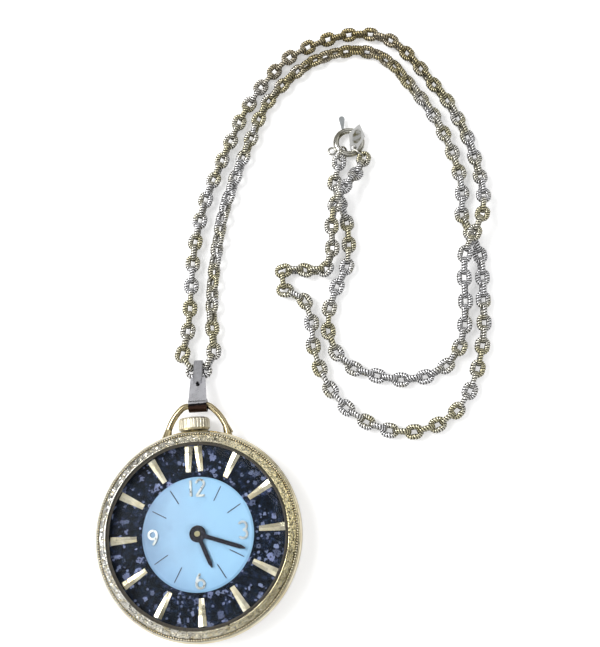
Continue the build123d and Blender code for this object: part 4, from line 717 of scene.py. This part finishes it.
def oval_place(run, straight, radius):
    """Place on an oval's long axis that a point of its rim faces away from, and the angle that it faces.

    The run is the point's way round the rim, and straight is half an oval's straight side.
    """
    bend = math.pi * radius
    if run < bend:
        return straight, run / radius - math.pi / 2
    if run < bend + 2 * straight:
        return straight - (run - bend), math.pi / 2
    if run < 2 * bend + 2 * straight:
        return -straight, (run - 2 * straight) / radius - math.pi / 2
    return -straight + (run - 2 * bend - 2 * straight), -math.pi / 2


def fuller(value):
    """Cosine or sine raised to the power that makes the section fuller."""
    return math.copysign(abs(value) ** SECTION_FULLNESS, value)


def fluted_link(length, width, height):
    """Oval link with slanted flutes round its wire, long along X.

    It comes with the depth in the flutes, raised on the side facing the hole for painted shade and tarnish,
    and the way out of the wire at each vertex.
    """
    radius = width / 2
    straight = length / 2 - radius
    perimeter = math.tau * radius + 4 * straight
    verts, grooves, ways = [], [], []
    for i in range(LINK_STEPS):
        run = perimeter * i / LINK_STEPS
        base, lead = oval_place(run, straight, radius)
        out = np.array([math.cos(lead), math.sin(lead)])
        metal = END_METAL + (SIDE_METAL - END_METAL) * out[1] ** 2
        middle = np.array([base, 0.0]) + out * (radius - metal / 2)
        for j in range(SECTION_STEPS):
            turn = math.tau * j / SECTION_STEPS
            outward, upward = math.cos(turn), math.sin(turn)
            wave = 0.5 + 0.5 * math.cos(RIBS * math.tau * run / perimeter + 2 * turn)
            facing = HOLE_DEPTH + (1 - HOLE_DEPTH) * (max(0.0, outward) + abs(upward))
            deep = (1 - wave**RIB_BREADTH) * min(1.0, facing)
            point = middle + out * (metal / 2 - RIB_DEPTH * deep) * fuller(outward)
            verts.append((*point, (height / 2 - RIB_DEPTH * deep) * fuller(upward)))
            # Painted shade in the grooves, and painted shade with tarnish on the side that faces the hole
            grooves.append(max(deep, -HOLE_SHADE_AND_TARNISH * outward))
            ways.append((*(out * outward), upward))
    return np.array(verts), np.array(grooves), np.array(ways)


def chain_piece(node_name, piece_name, material):
    """Fluted links in place of a node's plain ones, with their painted shade and tarnish as an attribute."""
    verts, faces, grooves = [], [], []
    total = 0
    for corners in loose_parts(nodes[node_name].data):
        centre, axes, size = link_place(corners)
        shape, deep, ways = fluted_link(*size)
        verts.append(shape @ axes.T + centre)
        # Painted shade on the sides of the wire that face neither up nor down
        lean = 1 - np.abs((ways @ axes.T)[:, 2])
        grooves.append(np.maximum(deep, SIDE_SHADE * lean**2))
        faces += ring_faces(LINK_STEPS, SECTION_STEPS, total)
        total += len(shape)
    verts = np.concatenate(verts)
    piece = make_piece(piece_name, verts, faces, material, "bail_chain", [node_name])
    attribute = piece.data.attributes.new("painted_shade_and_tarnish", "FLOAT", "POINT")
    attribute.data.foreach_set("value", np.concatenate(grooves).astype(np.float32))


silver = chain_metal()
for node_name, piece_name in (
    ("bail_link", "link_connector"),
    ("chain_right_strand", "links_right_strand"),
    ("chain_outer_arch", "links_outer_arch"),
    ("chain_left_strand", "links_left_strand"),
    ("chain_inner_arch", "links_inner_arch"),
    ("chain_low_loop", "links_low_loop"),
):
    chain_piece(node_name, piece_name, silver)


# Floor, light and camera


def floor_material():
    """Pale floor that glows a little to the camera alone, so that it shows white with soft shadows."""
    mat = bpy.data.materials.new("floor")
    mat.use_nodes = True
    mat.node_tree.nodes.clear()
    tree = Nodes(mat.node_tree)
    diffuse = tree.node("ShaderNodeBsdfDiffuse")
    diffuse.inputs["Color"].default_value = (FLOOR_GREY, FLOOR_GREY, FLOOR_GREY, 1)
    glow = tree.node("ShaderNodeEmission")
    seen = tree.node("ShaderNodeLightPath").outputs["Is Camera Ray"]
    tree.link(tree.calc("MULTIPLY", seen, FLOOR_LIFT), glow.inputs["Strength"])
    add = tree.node("ShaderNodeAddShader")
    tree.link(diffuse.outputs[0], add.inputs[0])
    tree.link(glow.outputs[0], add.inputs[1])
    tree.link(add.outputs[0], tree.node("ShaderNodeOutputMaterial").inputs["Surface"])
    return mat


def floor_piece():
    """Wide square a hair below the watch."""
    reach = FLOOR_REACH * MM
    corners = [(-reach, -reach, 0), (reach, -reach, 0), (reach, reach, 0), (-reach, reach, 0)]
    mesh = bpy.data.meshes.new("floor")
    mesh.from_pydata(corners, [], [(0, 1, 2, 3)])
    mesh.materials.append(floor_material())
    floor = bpy.data.objects.new("floor", mesh)
    floor.location = (0, 0, -FLOOR_DROP * MM)
    bpy.context.scene.collection.objects.link(floor)


def area_light(name, place, size, power):
    """Soft box at a place that shines at the target."""
    light = bpy.data.lights.new(name, "AREA")
    light.shape = "RECTANGLE"
    light.size, light.size_y = Vector(size) * MM
    light.energy = power
    lamp = bpy.data.objects.new(name, light)
    lamp.location = Vector(place) * MM
    lamp.rotation_mode = "QUATERNION"
    lamp.rotation_quaternion = (Vector(LIGHT_TARGET) - Vector(place)).to_track_quat("-Z", "Y")
    bpy.context.scene.collection.objects.link(lamp)
    return lamp


def studio_world():
    """Dim room with a bright band of soft boxes half way up, which the camera itself sees as plain white."""
    world = bpy.data.worlds.new("studio")
    bpy.context.scene.world = world
    world.use_nodes = True
    world.node_tree.nodes.clear()
    tree = Nodes(world.node_tree)
    way = tree.axes(tree.node("ShaderNodeTexCoord").outputs["Generated"])
    turn = tree.calc("ARCTAN2", way["Y"], way["X"])
    boxes = tree.ramp(tree.line_noise(turn, scale=1.3, detail=2), [(0.42, 0.25), (0.56, 1.0)])
    room = tree.shade(tree.ramp(way["Z"], ROOM_BAND), boxes)
    seen = tree.node("ShaderNodeLightPath").outputs["Is Camera Ray"]
    back = tree.node("ShaderNodeBackground")
    tree.link(tree.mix(seen, room, WHITE), back.inputs["Color"])
    tree.link(back.outputs[0], tree.node("ShaderNodeOutputWorld").inputs["Surface"])


def add_camera():
    """Camera fitted to the photograph's view of the case and the chain."""
    data = bpy.data.cameras.new("camera")
    data.sensor_width = CAMERA_SENSOR
    data.lens = CAMERA_LENS
    data.clip_start = CAMERA_CLIP * MM
    camera = bpy.data.objects.new("camera", data)
    bpy.context.scene.collection.objects.link(camera)
    back = -CAMERA_FORWARD.normalized()
    up = back.cross(CAMERA_RIGHT).normalized()
    turned = Matrix((up.cross(back), up, back)).transposed().to_4x4()
    camera.matrix_world = Matrix.Translation(Vector(CAMERA_PLACE) * MM) @ turned
    bpy.context.scene.camera = camera


floor_piece()
area_light("key_light", place=(-260, 120, 400), size=(240, 240), power=1.7)
fill_light = area_light("fill_light", place=(340, -140, 300), size=(240, 300), power=0.5)
fill_light.visible_glossy = False
studio_world()
add_camera()
bpy.context.scene.view_settings.view_transform = "Standard"
